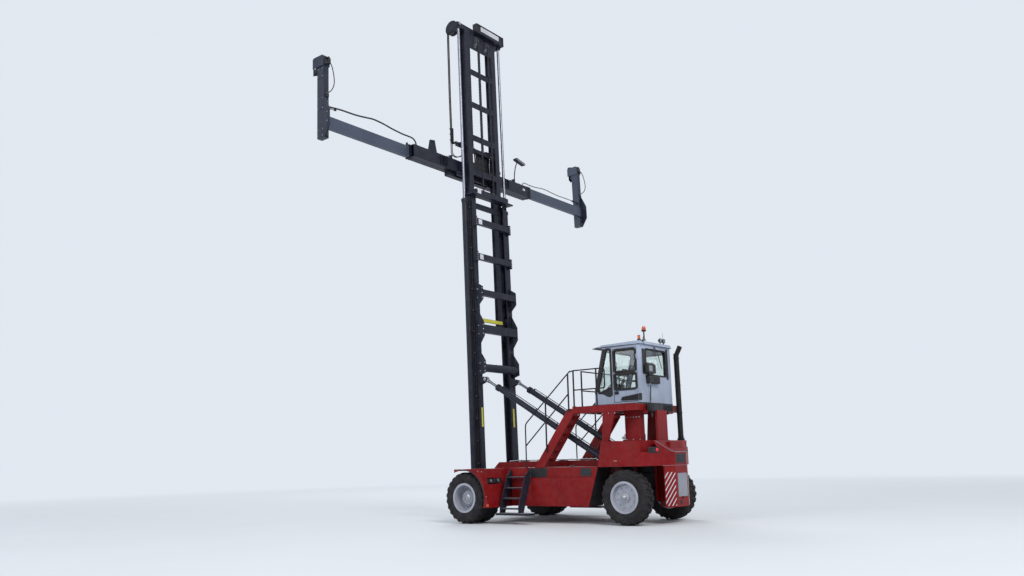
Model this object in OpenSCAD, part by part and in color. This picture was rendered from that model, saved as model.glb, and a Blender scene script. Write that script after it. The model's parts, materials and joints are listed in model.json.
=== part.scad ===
// Empty container handler: a counterbalanced truck with a raised cab behind a
// two-stage mast, which carries a telescopic side spreader at its 40 ft setting.
// X runs forward, Y to the driver's left, Z up. Stations along X are measured
// from the drive axle and shifted once, by paint(), to the middle of the machine.

/* [Wheels] */
// Distance between the drive axle and the steer axle
wheelbase = 4400; // [4200:10:4700]
// Outer diameter of every tyre under load
tyre_d = 1320; // [1260:10:1330]
// Width of every tyre
tyre_w = 360; // [320:5:370]
// Diameter of the rim flanges
rim_d = 720; // [660:10:780]
// Free space between the two tyres of a twin wheel
twin_gap = 70; // [50:5:110]
// Width over the outer drive tyres
drive_width = 4140; // [4050:10:4240]
// Width over the steer tyres
steer_width = 2600; // [2540:10:2700]
// Distance from a kingpin's axis to its wheel's middle plane
kingpin_offset = 260; // [250:5:280]

/* [Chassis] */
// Width over the main frame plates
frame_w = 1120; // [1000:10:1160]
// Thickness of the main frame plates
frame_plate = 60; // [40:5:80]
// Height of the frame's lower edge above the ground
frame_low = 500; // [460:10:560]
// Height of the frame's upper edge
frame_top = 1560; // [1500:10:1600]
// Width over the side tanks and the rear hull
body_w = 2440; // [2380:10:2480]
// Height of the side tanks' lower edge
tank_low = 430; // [400:10:480]
// Height of the side tanks' upper edge
tank_top = 1400; // [1360:10:1440]
// Station of the side tanks' front end
tank_front = -960; // [-1000:10:-930]
// Distance from the steer axle to the side tanks' rear end at the bottom
tank_back = 1060; // [1040:10:1100]
// Height of the rear hull's underside over the steer wheels
hull_low = 1390; // [1375:5:1410]
// Height of the ledge round the rear hull
hull_ledge = 1720; // [1680:10:1760]
// Height of the rear hull's top
hull_top = 2000; // [1960:10:2060]
// Distance from the steer axle to the rearmost face
rear_overhang = 900; // [890:5:940]
// Half width of the flat middle facet at the rear
rear_flat = 300; // [260:10:340]
// Height of the counterweight's lower edge
weight_low = 400; // [380:10:460]

/* [Cab] */
// Width over the cab's side walls
cab_w = 1580; // [1500:10:1640]
// Distance from the steer axle back to the cab's rear wall
cab_back = 360; // [340:10:400]
// Length of the cab at its floor
cab_l = 1370; // [1320:10:1420]
// Height of the cab's floor above the ground
cab_floor_z = 2900; // [2880:10:2950]
// Height of the cab from floor to roof
cab_h = 1570; // [1540:10:1620]
// Thickness of the cab's walls
cab_wall = 45; // [35:5:55]
// Distance that the windscreen leans back from its foot to its head
screen_lean = 270; // [200:10:300]
// Width of the door leaf
door_w = 700; // [660:10:720]
// Running gap around the door leaf
door_gap = 6; // [5.5:0.5:8]

/* [Mast] */
// Forward lean of the mast at rest, in degrees
mast_lean = 1.5; // [0:0.1:2]
// Station of the outer mast's rear flanges
mast_rear = 370; // [360:5:385]
// Depth of the outer uprights along X
outer_depth = 290; // [280:5:300]
// Width over the outer uprights
outer_w = 1660; // [1640:5:1680]
// Width of one outer upright across the truck
outer_flange = 180; // [175:5:185]
// Height of the outer mast's lower end
mast_low = 420; // [400:10:460]
// Height of the outer mast's top
outer_top = 9370; // [9300:10:9450]
// Distance from the outer mast's rear flanges to the inner mast's
inner_set = 130; // [125:1:135]
// Depth of the inner uprights along X
inner_depth = 270; // [265:5:285]
// Width over the inner uprights
inner_w = 1480; // [1470:5:1490]
// Width of one inner upright across the truck
inner_flange = 190; // [185:1:200]
// Height of the inner mast's top at rest
inner_top = 14820; // [14750:10:14900]
// Height of the inner mast's lower end at rest
inner_low = 5560; // [5500:10:5600]
// Free space between sections that slide past each other
slide_gap = 20; // [10:1:25]
// Bore radius of the lift cylinders
lift_bore = 62; // [58:1:66]
// Radius of the lift rods
lift_rod = 42; // [38:1:46]
// Wall of the lift and tilt cylinders
barrel_wall = 18; // [14:1:22]

/* [Spreader] */
// Distance between the locks at the 40 ft setting
lock_span = 11985; // [11985:1:11986]
// Height of the spreader's beams above the ground at rest
beam_z = 10370; // [10340:5:10400]
// Length of the spreader's middle frame
middle_l = 5560; // [5500:10:5580]
// Width of one guide tube of the middle frame
guide_w = 160; // [155:5:165]
// Height of the guide tubes
guide_h = 370; // [360:5:385]
// Wall of the guide tubes
guide_wall = 14; // [12:1:16]
// Free space around an arm in its guide tube
arm_gap = 6; // [5.5:0.5:8]
// Width of the end posts across the truck
post_w = 160; // [150:5:165]

/* [Hidden] */
$fn = 48;

// Colours
red = [0.62, 0.03, 0.05];
charcoal = [0.06, 0.07, 0.10];
arm_grey = [0.20, 0.24, 0.32];
black = [0.03, 0.03, 0.035];
cab_white = [0.80, 0.82, 0.88];
rim_grey = [0.72, 0.74, 0.76];
chrome = [0.75, 0.76, 0.78];
steel = [0.45, 0.46, 0.48];
glass = [0.65, 0.80, 0.82, 0.35];

// Stations worked out from the sizes above
rear_x = -wheelbase - rear_overhang;
tank_rear = tank_back - wheelbase;
cab_rear = -wheelbase - cab_back;
inner_rear = mast_rear + inner_set;
inner_front = inner_rear + inner_depth;
rail_x0 = inner_front + 10;
rail_x1 = rail_x0 + 35;
guide_x0 = rail_x1 + 15;
guide_x1 = guide_x0 + guide_w + 10;
post_x1 = guide_x1 + guide_w - 10;
lock_x = post_x1 + 75;
head_out = lock_x + 75;
head_z0 = beam_z + 1460;
head_z1 = head_z0 + 300;
pivot_x = 345;
pivot_z = 760;

// A point of the upright mast, where it is with the mast's lean
function leaned(x, z) = [pivot_x + (x - pivot_x) * cos(mast_lean) + (z - pivot_z) * sin(mast_lean),
                         pivot_z + (z - pivot_z) * cos(mast_lean) - (x - pivot_x) * sin(mast_lean)];

mid_x = (rear_x + leaned(head_out, head_z1)[0]) / 2;
axle_z = tyre_d / 2;
body_y = body_w / 2;
frame_y = frame_w / 2;
steer_y = steer_width / 2 - tyre_w / 2;
kingpin_y = steer_y - kingpin_offset;
twin_pitch = tyre_w + twin_gap;
drive_y = drive_width / 2 - tyre_w / 2 - twin_pitch / 2;
pin_gap = 0.5;
seat = 0.3;

module paint(c) {
  color(c) translate([-mid_x, 0, 0]) children();
}

// The same for the mast and what it carries, drawn upright and leaned about its pivot
module mast_paint(c) {
  paint(c) translate([pivot_x, 0, pivot_z]) rotate([0, mast_lean, 0]) translate([-pivot_x, 0, -pivot_z]) children();
}

// A box from its low corner to its high corner
module block(a, b) {
  translate(a) cube([b[0] - a[0], b[1] - a[1], b[2] - a[2]]);
}

// The same shape on both sides of the truck
module both_sides() {
  children();
  mirror([0, 1, 0]) children();
}

// An outline in X and Z, as thick as y0 to y1
module side_plate(points, y0, y1) {
  translate([0, y1, 0]) rotate([90, 0, 0]) linear_extrude(y1 - y0) polygon(points);
}

// An outline in Y and Z, as thick as x0 to x1
module cross_plate(points, x0, x1) {
  translate([x0, 0, 0]) rotate([90, 0, 90]) linear_extrude(x1 - x0) polygon(points);
}

// A cylinder across the truck
module cross_rod(x, z, r, y0, y1) {
  translate([x, y1, z]) rotate([90, 0, 0]) cylinder(r = r, h = y1 - y0);
}

// A round bar between two points
module bar(a, b, r) {
  d = b - a;
  l = norm(d);
  translate(a) rotate([0, acos(d[2] / l), atan2(d[1], d[0])]) cylinder(r = r, h = l, $fn = 16);
}

// Wheels
tyre_r = tyre_d / 2;
rim_r = rim_d / 2;
shoulder = 55;
bead_w = tyre_w - 70;
spindle_r = 60;

module tyre(y) {
  h = tyre_w / 2;
  b = bead_w / 2;
  translate([0, y, axle_z]) rotate([90, 0, 0]) rotate_extrude($fn = 96)
    polygon([[rim_r, -b], [rim_r + 70, -h + 12], [tyre_r - shoulder - 30, -h], [tyre_r - 22, -h + 26],
             [tyre_r, -h + shoulder], [tyre_r, h - shoulder], [tyre_r - 22, h - 26],
             [tyre_r - shoulder - 30, h], [rim_r + 70, h - 12], [rim_r, b]]);
}

// A rim that the bead sits on, with a disc at the given depth from its middle
module rim(y, disc_y) {
  b = bead_w / 2;
  translate([0, y, axle_z]) rotate([-90, 0, 0]) rotate_extrude($fn = 96)
    polygon([[rim_r - seat, -b], [rim_r - seat, -b - 9], [rim_r + 22, -b - 10], [rim_r + 22, -b - 22],
             [rim_r - 34, -b - 22], [rim_r - 34, disc_y - 12],
             [spindle_r + pin_gap, disc_y - 12], [spindle_r + pin_gap, disc_y + 12],
             [rim_r - 34, disc_y + 12], [rim_r - 34, b + 22], [rim_r + 22, b + 22], [rim_r + 22, b + 10],
             [rim_r - seat, b + 9], [rim_r - seat, b]]);
}

hub_r = 205;
drive_hub_out = drive_width / 2 - 165;
axle_end_y = drive_y - twin_pitch / 2 - tyre_w / 2 + 60;

module drive_tyres() {
  tyre(drive_y - twin_pitch / 2);
  tyre(drive_y + twin_pitch / 2);
}

module drive_rims() {
  rim(drive_y - twin_pitch / 2, 100);
  rim(drive_y + twin_pitch / 2, -100);
  translate([0, drive_y - twin_pitch / 2 + 60, axle_z]) rotate([-90, 0, 0])
    cylinder(r = hub_r, h = drive_hub_out - 60 - drive_y + twin_pitch / 2 - 40);
  translate([0, drive_hub_out - 41, axle_z]) rotate([-90, 0, 0]) cylinder(r1 = hub_r, r2 = hub_r - 40, h = 41);
  translate([0, axle_end_y + pin_gap, axle_z]) rotate([-90, 0, 0])
    cylinder(r = 150, h = drive_y - twin_pitch / 2 + 70 - axle_end_y);
}

module drive_tyres_left() paint(black) drive_tyres();
module drive_tyres_right() paint(black) mirror([0, 1, 0]) drive_tyres();
module drive_rims_left() paint(rim_grey) drive_rims();
module drive_rims_right() paint(rim_grey) mirror([0, 1, 0]) drive_rims();

steer_disc = 70;

module steer_tyre() translate([-wheelbase, 0, 0]) tyre(steer_y);
module steer_rim() {
  translate([-wheelbase, 0, 0]) {
    rim(steer_y, steer_disc);
    difference() {
      translate([0, steer_y - 60, axle_z]) rotate([-90, 0, 0]) cylinder(r = 110, h = 190);
      translate([0, steer_y - 61, axle_z]) rotate([-90, 0, 0]) cylinder(r = spindle_r + pin_gap, h = 150);
    }
    translate([0, steer_y + 125, axle_z]) rotate([-90, 0, 0]) cylinder(r1 = 95, r2 = 70, h = 30);
  }
}

module steer_tyre_left() paint(black) steer_tyre();
module steer_tyre_right() paint(black) mirror([0, 1, 0]) steer_tyre();
module steer_rim_left() paint(rim_grey) steer_rim();
module steer_rim_right() paint(rim_grey) mirror([0, 1, 0]) steer_rim();

// Steer axle, with a forked end round each kingpin
kingpin_r = 42;
fork_h = 300;
fork_plate = 55;
knuckle_r = 70;

module knuckle() {
  translate([-wheelbase, kingpin_y, axle_z]) {
    difference() {
      translate([0, 0, -fork_h / 2 + fork_plate + pin_gap])
        cylinder(r = knuckle_r, h = fork_h - 2 * fork_plate - 2 * pin_gap);
      translate([0, 0, -fork_h / 2]) cylinder(r = kingpin_r + pin_gap, h = fork_h);
    }
    difference() {
      rotate([-90, 0, 0]) cylinder(r = spindle_r, h = steer_y - kingpin_y + 80);
      translate([0, 0, -fork_h / 2]) cylinder(r = knuckle_r - 10, h = fork_h);
    }
  }
}

module knuckle_left() paint(steel) knuckle();
module knuckle_right() paint(steel) mirror([0, 1, 0]) knuckle();

module steer_axle() {
  paint(charcoal) translate([-wheelbase, 0, axle_z]) {
    both_sides() {
      for (z = [-fork_h / 2, fork_h / 2 - fork_plate]) translate([0, kingpin_y, z]) {
        cylinder(r = knuckle_r, h = fork_plate);
        translate([-knuckle_r, -190, 0]) cube([2 * knuckle_r, 190, fork_plate]);
      }
      translate([0, kingpin_y, -fork_h / 2 - 12]) cylinder(r = kingpin_r, h = fork_h + 24);
    }
    translate([-knuckle_r, -kingpin_y + 100, -fork_h / 2])
      cube([2 * knuckle_r, 2 * kingpin_y - 200, fork_h]);
    translate([-265 + seat, 0, 0]) rotate([0, 90, 0]) cylinder(r = 120, h = 530 - 2 * seat);
    translate([-250, -210, -fork_h / 2]) cube([500, 420, fork_h]);
  }
}

// Drive axle: a casing with a differential bulb
module drive_axle() {
  paint(charcoal) {
    cross_rod(0, axle_z, 170, -axle_end_y, axle_end_y);
    translate([0, 0, axle_z]) sphere(r = 300);
    translate([-520, 0, axle_z]) rotate([0, 90, 0]) cylinder(r = 130, h = 300);
    // Pads bolted under the frame plates
    both_sides() block([-200, frame_y - frame_plate - 15, axle_z + 40], [90, frame_y + 15, notch_top - seat]);
  }
}

// Main frame: two plates with a raised tail over the steer axle
frame_front = 190;
tail_x = -wheelbase + 840;
tail_end = rear_x + 420;
pivot_r = 45;
lug_r = 95;
lug_t = 60;
lug_y = frame_y - lug_t;
tilt_base_x = -wheelbase + 840;
tilt_base_z = 1560;
tilt_y = 733;
tilt_pin = 40;

notch_top = axle_z + 330;

module frame_outline() {
  polygon([[frame_front, frame_low + 330], [frame_front, frame_top - 180], [frame_front - 200, frame_top],
           [tail_end, frame_top], [tail_end, hull_low + 5], [tail_x - 60, hull_low + 5], [tail_x, frame_low + 60],
           [tail_x + 80, frame_low], [-620, frame_low], [-480, frame_low + 160], [-460, notch_top],
           [100, notch_top], [100, frame_low + 330]]);
}

module chassis_frame() {
  paint(red) {
    difference() {
      union() {
        both_sides() {
          translate([0, frame_y, 0]) rotate([90, 0, 0]) linear_extrude(frame_plate) frame_outline();
          // Lug that carries the mast's foot, in front of the axle
          side_plate([[frame_front - 60, frame_low + 345], [pivot_x, pivot_z - lug_r],
                      [pivot_x, pivot_z + lug_r], [frame_front - 60, frame_top - 420]], lug_y, frame_y);
          cross_rod(pivot_x, pivot_z, lug_r, lug_y, frame_y);
          // Boss that carries the tilt cylinder's pin
          cross_rod(tilt_base_x, tilt_base_z, 105, frame_y - frame_plate, tilt_y - 90);
          cross_rod(tilt_base_x, tilt_base_z, tilt_pin, frame_y, tilt_y + 95);
        }
        block([tail_end, -frame_y, frame_top - 40], [-700, frame_y, frame_top]);
        block([-760, -frame_y, notch_top + 15], [frame_front - 20, frame_y, notch_top + 55]);
        block([tail_x + 100, -frame_y, frame_low], [tail_x + 160, frame_y, frame_top - 40]);
        block([-760, -frame_y, frame_low + 20], [-700, frame_y, frame_top]);
        // Bolster that carries the steer axle's trunnion
        for (x = [-wheelbase + 265, -wheelbase - 330]) block([x, -200, axle_z - 130], [x + 65, 200, frame_top - 39]);
      }
    }
    both_sides() cross_rod(pivot_x, pivot_z, pivot_r, lug_y - 20, outer_w / 2 - outer_flange - 2);
  }
}

engine_l = 1500;
engine_w = 820;
engine_h = 900;

engine_x = -wheelbase + 1100;
foot_l = 120;

module engine() {
  paint(steel) {
    block([engine_x, -engine_w / 2, frame_low + 60], [engine_x + engine_l, engine_w / 2, frame_low + 60 + engine_h]);
    for (x = [engine_x + foot_l, engine_x + engine_l - 2 * foot_l]) both_sides()
      block([x, engine_w / 2 - 1, frame_low + 200], [x + foot_l, frame_y - frame_plate - seat, frame_low + 300]);
  }
}

// Front fenders over the twin wheels
fender_in = 1010;
fender_out = drive_width / 2 + 30;
fender_front = 300;
fender_rear = -590;
skirt_rear = -870;
skirt_low = 420;
fender_top = 1400;
fender_t = 25;
arch_r = tyre_d / 2 + 60;

module fender() {
  difference() {
    union() {
      // Top with the slanted plate behind the wheels
      side_plate([[fender_front, fender_top], [fender_front, fender_top - fender_t], [fender_rear + 20, fender_top - fender_t],
                  [skirt_rear + 28, skirt_low], [skirt_rear, skirt_low], [fender_rear, fender_top]], fender_in, fender_out);
      // Side with the wheel arch
      side_plate([[fender_front, fender_top], [fender_front, 1150], [skirt_rear + 190, skirt_low], [skirt_rear, skirt_low],
                  [fender_rear, fender_top]], fender_out - fender_t, fender_out);
    }
    cross_rod(0, axle_z, arch_r, fender_out - fender_t - 1, fender_out + 1);
    // Slot in the slanted plate
    block([skirt_rear - 50, body_y + 60, 1005], [fender_rear, fender_out - 190, 1165]);
  }
  // Deck between the fender and the frame plate
  block([tank_front + seat, frame_y + seat, fender_top - 60], [fender_rear, fender_in + 1, fender_top]);
}

module fenders() paint(red) both_sides() fender();

// Side tanks with a slanted rear edge and a recessed band below the top
band_low = 1130;
band_in = 60;
band_front = tank_front - 510;
tank_slant = 310;

module tank() {
  slope = tank_slant / (tank_top - tank_low);
  difference() {
    side_plate([[tank_front, tank_low], [tank_front, tank_top], [tank_rear - tank_slant, tank_top],
                [tank_rear, tank_low]], frame_y + seat, body_y);
    side_plate([[band_front, band_low], [band_front, tank_top + 1],
                [tank_rear - slope * (tank_top - tank_low) + 90, tank_top + 1],
                [tank_rear - slope * (band_low - tank_low) + 90, band_low]], body_y - band_in, body_y + 1);
  }
}

module side_tanks() paint(red) both_sides() tank();

// The rear hull: a bowed plan, a ledge, and a raised deck in front of it
hull_front = -wheelbase + 750;
hull_lean = 120;
deck_slope = 90;
bow = 400;
ledge_in = 250;

module bow_plan(half, front, back) {
  polygon([[front, -half], [front, half], [back + bow, half], [back, rear_flat],
           [back, -rear_flat], [back + bow, -half]]);
}

module rear_hull() {
  paint(red) difference() {
    union() {
      intersection() {
        translate([0, 0, hull_low]) linear_extrude(hull_ledge - hull_low) bow_plan(body_y, hull_front, rear_x);
        hull_side();
      }
      intersection() {
        translate([0, 0, hull_ledge - 1]) linear_extrude(hull_top - hull_ledge + 1)
          bow_plan(body_y, hull_front, rear_x + ledge_in - deck_slope);
        hull_side();
      }
    }
    // Room for the frame's tail
    block([tail_end - seat, -frame_y - seat, hull_low - 1], [hull_front + 1, frame_y + seat, frame_top + seat]);
  }
}

// The hull from the side, with its leaning front edge and the slope behind the deck
module hull_side() {
  side_plate([[hull_front, hull_low - 1], [hull_front - hull_lean, hull_top], [rear_x + ledge_in, hull_top],
              [rear_x + ledge_in - deck_slope, hull_ledge], [rear_x - 1, hull_ledge], [rear_x - 1, hull_low - 1]],
             -body_y - 1, body_y + 1);
}

weight_half = 600;
sweep_r = 775;
tow_z = 640;
tow_r = 60;

module counterweight() {
  paint(red) difference() {
    translate([0, 0, weight_low]) linear_extrude(hull_low - weight_low - seat)
      intersection() {
        bow_plan(body_y, -wheelbase - 360, rear_x);
        translate([rear_x - 1, -weight_half]) square([1200, 2 * weight_half]);
      }
    both_sides() translate([-wheelbase, kingpin_y, weight_low - 1]) cylinder(r = sweep_r, h = hull_low, $fn = 96);
    translate([rear_x - 1, 0, tow_z]) rotate([0, 90, 0]) cylinder(r = tow_r, h = 251);
  }
}

// A low box behind the deck, between the left pod and the right corner
module radiator_hood() {
  paint(red) difference() {
    translate([0, 0, hull_ledge + seat]) linear_extrude(hull_top - hull_ledge - 40) intersection() {
      bow_plan(body_y, rear_x + ledge_in + 300, rear_x + 90);
      translate([rear_x, -1000]) square([600, 1330]);
    }
    translate([0, 0, hull_ledge]) linear_extrude(hull_top) bow_plan(body_y + 10, hull_front, rear_x + ledge_in - deck_slope + 85);
    hull_side();
  }
}

stack_x = -wheelbase - 485;
stack_y = -900;
stack_r = 70;

module exhaust_stack() {
  paint(black) {
    translate([stack_x, stack_y, hull_top + 0.3]) cylinder(r = stack_r, h = 2250);
    translate([stack_x, stack_y, hull_top + 0.3]) cylinder(r = stack_r + 25, h = 60);
    translate([stack_x, stack_y, hull_top + 2200]) rotate([0, -28, 0]) cylinder(r = stack_r - 6, h = 270);
  }
}

// Four treads beside the tank, each further out than the one above, and a wide one at the foot
tread_zs = [365, 615, 875, 1145];
tread_step = 105;
tread_front = tank_front + 10;
tread_rear = tank_front - 610;
tread_depth = 190;
tread_in = body_y + 30;
foot_out = 110;
foot_z = 225;

module step_flight() {
  n = len(tread_zs) - 1;
  out = tread_in + n * tread_step + tread_depth;
  for (i = [0 : n])
    block([tread_rear + 19, tread_in + (n - i) * tread_step, tread_zs[i]],
          [tread_front - 19, tread_in + (n - i) * tread_step + tread_depth, tread_zs[i] + 30]);
  for (x = [tread_rear, tread_front - 20])
    cross_plate([[body_y + seat, tread_zs[n] - 60], [body_y + seat, tank_top - 20], [tread_in + tread_depth, tread_zs[n] + 60],
                 [out, tread_zs[0] + 60], [out, foot_z + 1], [out - tread_depth, foot_z + 1]], x, x + 20);
  block([tread_rear - 380, out - tread_depth, foot_z], [tread_front + 60, out + foot_out, foot_z + 50]);
}

module steps() paint(charcoal) both_sides() step_flight();

// Stairs up to the platform
stair_head = [cab_rear + cab_l + 510, cab_floor_z - 40];
stair_foot = [stair_head[0] + 1080, tank_top];
stair_in = 830;
stair_out = 1180;
stringer_t = 30;
stair_count = 6;

module stair() {
  for (y = [stair_in, stair_out - stringer_t])
    side_plate([[stair_foot[0] + 110, stair_foot[1] + 0.3], [stair_foot[0] - 190, stair_foot[1] + 0.3],
                [stair_head[0] - 60, stair_head[1] - 170], [stair_head[0] - 60, stair_head[1]], [stair_head[0] + 90, stair_head[1]]],
               y, y + stringer_t);
  for (i = [1 : stair_count]) {
    t = i / (stair_count + 1);
    x = stair_foot[0] + (stair_head[0] - stair_foot[0]) * t;
    z = stair_foot[1] + (stair_head[1] - stair_foot[1]) * t;
    block([x - 120, stair_in + stringer_t - 1, z], [x + 90, stair_out - stringer_t + 1, z + 25]);
  }
}

module stairs() paint(red) both_sides() stair();

// Platform under the cab: two long beams, cross members and a deck plate
deck_front = stair_head[0] - 60 - seat;
deck_rear = cab_rear + 10;
beam_rear = cab_rear - 20;
deck_y = 1180;
beam_w = 80;
beam_h = 140;
beam_top = cab_floor_z - 30;

module platform() {
  paint(red) {
    both_sides() block([beam_rear, deck_y - beam_w, beam_top - beam_h], [deck_front, deck_y, beam_top]);
    for (x = [deck_rear, cab_rear + 1060, deck_front - beam_w])
      block([x, -deck_y + 1, beam_top - beam_h + 10], [x + beam_w, deck_y - 1, beam_top]);
    block([deck_rear, -deck_y, beam_top - 1], [deck_front, deck_y, cab_floor_z - seat]);
  }
}

column_top = beam_top - beam_h + 10 - seat;
column_y = 640;

module cab_columns() {
  x0 = cab_rear + 140;
  x1 = x0 + 440;
  paint(red) {
    both_sides() {
      block([x0, column_y, hull_top + seat], [x1, column_y + 60, column_top]);
      block([x0, column_y - 140, hull_top + seat], [x0 + 60, column_y + 1, column_top]);
      block([cab_rear - 40, column_y - 140, column_top - 60], [x0 + 10, column_y + 60, column_top]);
      // Strut that leans back under the platform's long beam
      side_plate([[x1 + 410, hull_top + seat], [x1 + 230, hull_top + seat], [x1, beam_top - beam_h - seat],
                  [x1 + 350, beam_top - beam_h - seat]], deck_y - 70, deck_y - 10);
    }
    block([cab_rear - 230, 0, hull_top + seat], [cab_rear - 170, 500, column_top - 60]);
    block([cab_rear - 230, 0, column_top - 61], [cab_rear - 15, 500, column_top]);
  }
}

post_r = 21;
rail_r = 17;
rail_h = 1050;

module handrails() {
  z0 = cab_floor_z;
  x0 = deck_front - 30;
  x1 = cab_rear + cab_l - 30;
  y = deck_y - 40;
  ys = stair_out + post_r + seat;
  foot = [stair_foot[0] + 40, ys, stair_foot[1]];
  head = [stair_head[0] + 40, ys, stair_head[1]];
  paint(black) {
    both_sides() {
      // Rail round the landing in front of the cab
      for (x = [x0, x1]) bar([x, y, z0], [x, y, z0 + rail_h + 10], post_r);
      for (z = [rail_h / 2, rail_h]) bar([x0, y, z0 + z], [x1, y, z0 + z], rail_r);
      bar([x0, y - 380, z0], [x0, y - 380, z0 + rail_h + 10], post_r);
      // Rail beside the stair
      bar(foot + [0, 0, 40], foot + [0, 0, rail_h], post_r);
      bar(head - [0, 0, 40], head + [0, 0, rail_h], post_r);
      for (z = [rail_h / 2, rail_h - 30]) bar(foot + [0, 0, z], head + [0, 0, z], rail_r);
    }
    for (z = [rail_h / 2, rail_h]) bar([x0, 380 - y, z0 + z], [x0, y - 380, z0 + z], rail_r);
  }
}

// Cab shell, split into the panels that it is welded from
cab_front_x = cab_rear + cab_l;
cab_y = cab_w / 2;
roof_t = 90;
cab_top = cab_floor_z + cab_h;
wall_low = cab_floor_z + 60;
wall_high = cab_top - roof_t;
sill_z = cab_floor_z + 400;

module cab_floor() {
  paint(cab_white) block([cab_rear, -cab_y, cab_floor_z], [cab_front_x, cab_y, wall_low]);
}

module cab_roof() {
  paint(cab_white) side_plate([[cab_rear - 40, wall_high], [cab_front_x - screen_lean + 40, wall_high],
    [cab_front_x - screen_lean + 120, wall_high + 20], [cab_front_x - screen_lean, cab_top - 25], [cab_rear + 260, cab_top], [cab_rear - 20, cab_top]],
    -cab_y - 20, cab_y + 20);
}

function screen_x(z) = cab_front_x - screen_lean * max(0, (z - sill_z)) / (wall_high - sill_z);

module cab_front() {
  paint(cab_white) difference() {
    side_plate([[cab_front_x, wall_low], [cab_front_x, sill_z], [cab_front_x - screen_lean, wall_high],
                [cab_front_x - screen_lean - cab_wall, wall_high], [cab_front_x - cab_wall, sill_z],
                [cab_front_x - cab_wall, wall_low]], -cab_y, cab_y);
    block([cab_front_x - 600, -cab_y + 70, sill_z - 100], [cab_front_x + 1, cab_y - 70, wall_high - 70]);
  }
}

module cab_rear_wall() {
  paint(cab_white) difference() {
    block([cab_rear, -cab_y, wall_low], [cab_rear + cab_wall, cab_y, wall_high]);
    block([cab_rear - 1, -cab_y + 270, sill_z + 320], [cab_rear + cab_wall + 1, cab_y - 270, wall_high - 90]);
  }
}

door_rear = cab_rear + cab_wall + 62;
door_low = wall_low + 10;
door_high = wall_high - 60;

module cab_side_outline() {
  polygon([[cab_rear + cab_wall, wall_low], [cab_rear + cab_wall, wall_high],
           [cab_front_x - screen_lean - cab_wall, wall_high], [cab_front_x - cab_wall, sill_z], [cab_front_x - cab_wall, wall_low]]);
}

module cab_side(y0) {
  translate([0, y0 + cab_wall, 0]) rotate([90, 0, 0]) linear_extrude(cab_wall) cab_side_outline();
}

module quarter_window(y0, y1) {
  side_plate([[door_rear + door_w + 70, sill_z + 60], [door_rear + door_w + 70, wall_high - 70],
              [cab_front_x - screen_lean - cab_wall - 60, wall_high - 70], [cab_front_x - cab_wall - 60, sill_z + 20],
              [cab_front_x - cab_wall - 100, sill_z - 60]], y0, y1);
}

// Hinges of the door: one half of each barrel on the wall, the other on the leaf
hinge_x = door_rear - door_gap / 2;
hinge_y = cab_y + 16;
hinge_zs = [door_low + 180, door_high - 300];
hinge_r = 13;
hinge_pin = 6;
hinge_l = 60;

module wall_hinges() {
  for (z = hinge_zs) {
    translate([hinge_x, hinge_y, z]) cylinder(r = hinge_r, h = hinge_l);
    translate([hinge_x, hinge_y, z]) cylinder(r = hinge_pin, h = 2 * hinge_l + 4);
    block([hinge_x - 50, cab_y - 1, z], [hinge_x, cab_y + 10, z + hinge_l]);
  }
}

module leaf_hinges() {
  for (z = hinge_zs) translate([0, 0, z + hinge_l + pin_gap]) difference() {
    union() {
      translate([hinge_x, hinge_y, 0]) cylinder(r = hinge_r, h = hinge_l);
      block([hinge_x, cab_y + 3, 0], [hinge_x + 50, cab_y + 12, hinge_l]);
      block([door_rear + 5, cab_y - 1, 0], [hinge_x + 50, cab_y + 12, hinge_l]);
    }
    translate([hinge_x, hinge_y, -1]) cylinder(r = hinge_pin + pin_gap, h = hinge_l + 2);
  }
}

module cab_left() {
  paint(cab_white) {
    difference() {
      cab_side(cab_y - cab_wall);
      block([door_rear - door_gap, cab_y - cab_wall - 1, door_low - door_gap],
            [door_rear + door_w + door_gap, cab_y + 1, door_high + door_gap]);
      quarter_window(cab_y - cab_wall - 1, cab_y + 1);
    }
    wall_hinges();
  }
}

module cab_right() {
  paint(cab_white) difference() {
    cab_side(-cab_y);
    block([door_rear + 60, -cab_y - 1, sill_z], [door_rear + door_w - 60, -cab_y + cab_wall + 1, door_high - 60]);
    quarter_window(-cab_y - 1, -cab_y + cab_wall + 1);
  }
}

module cab_door() {
  paint(cab_white) {
    difference() {
      block([door_rear, cab_y - cab_wall, door_low], [door_rear + door_w, cab_y, door_high]);
      block([door_rear + 60, cab_y - cab_wall - 1, sill_z], [door_rear + door_w - 60, cab_y + 1, door_high - 60]);
    }
    leaf_hinges();
  }
}

glass_t = 8;

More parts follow.
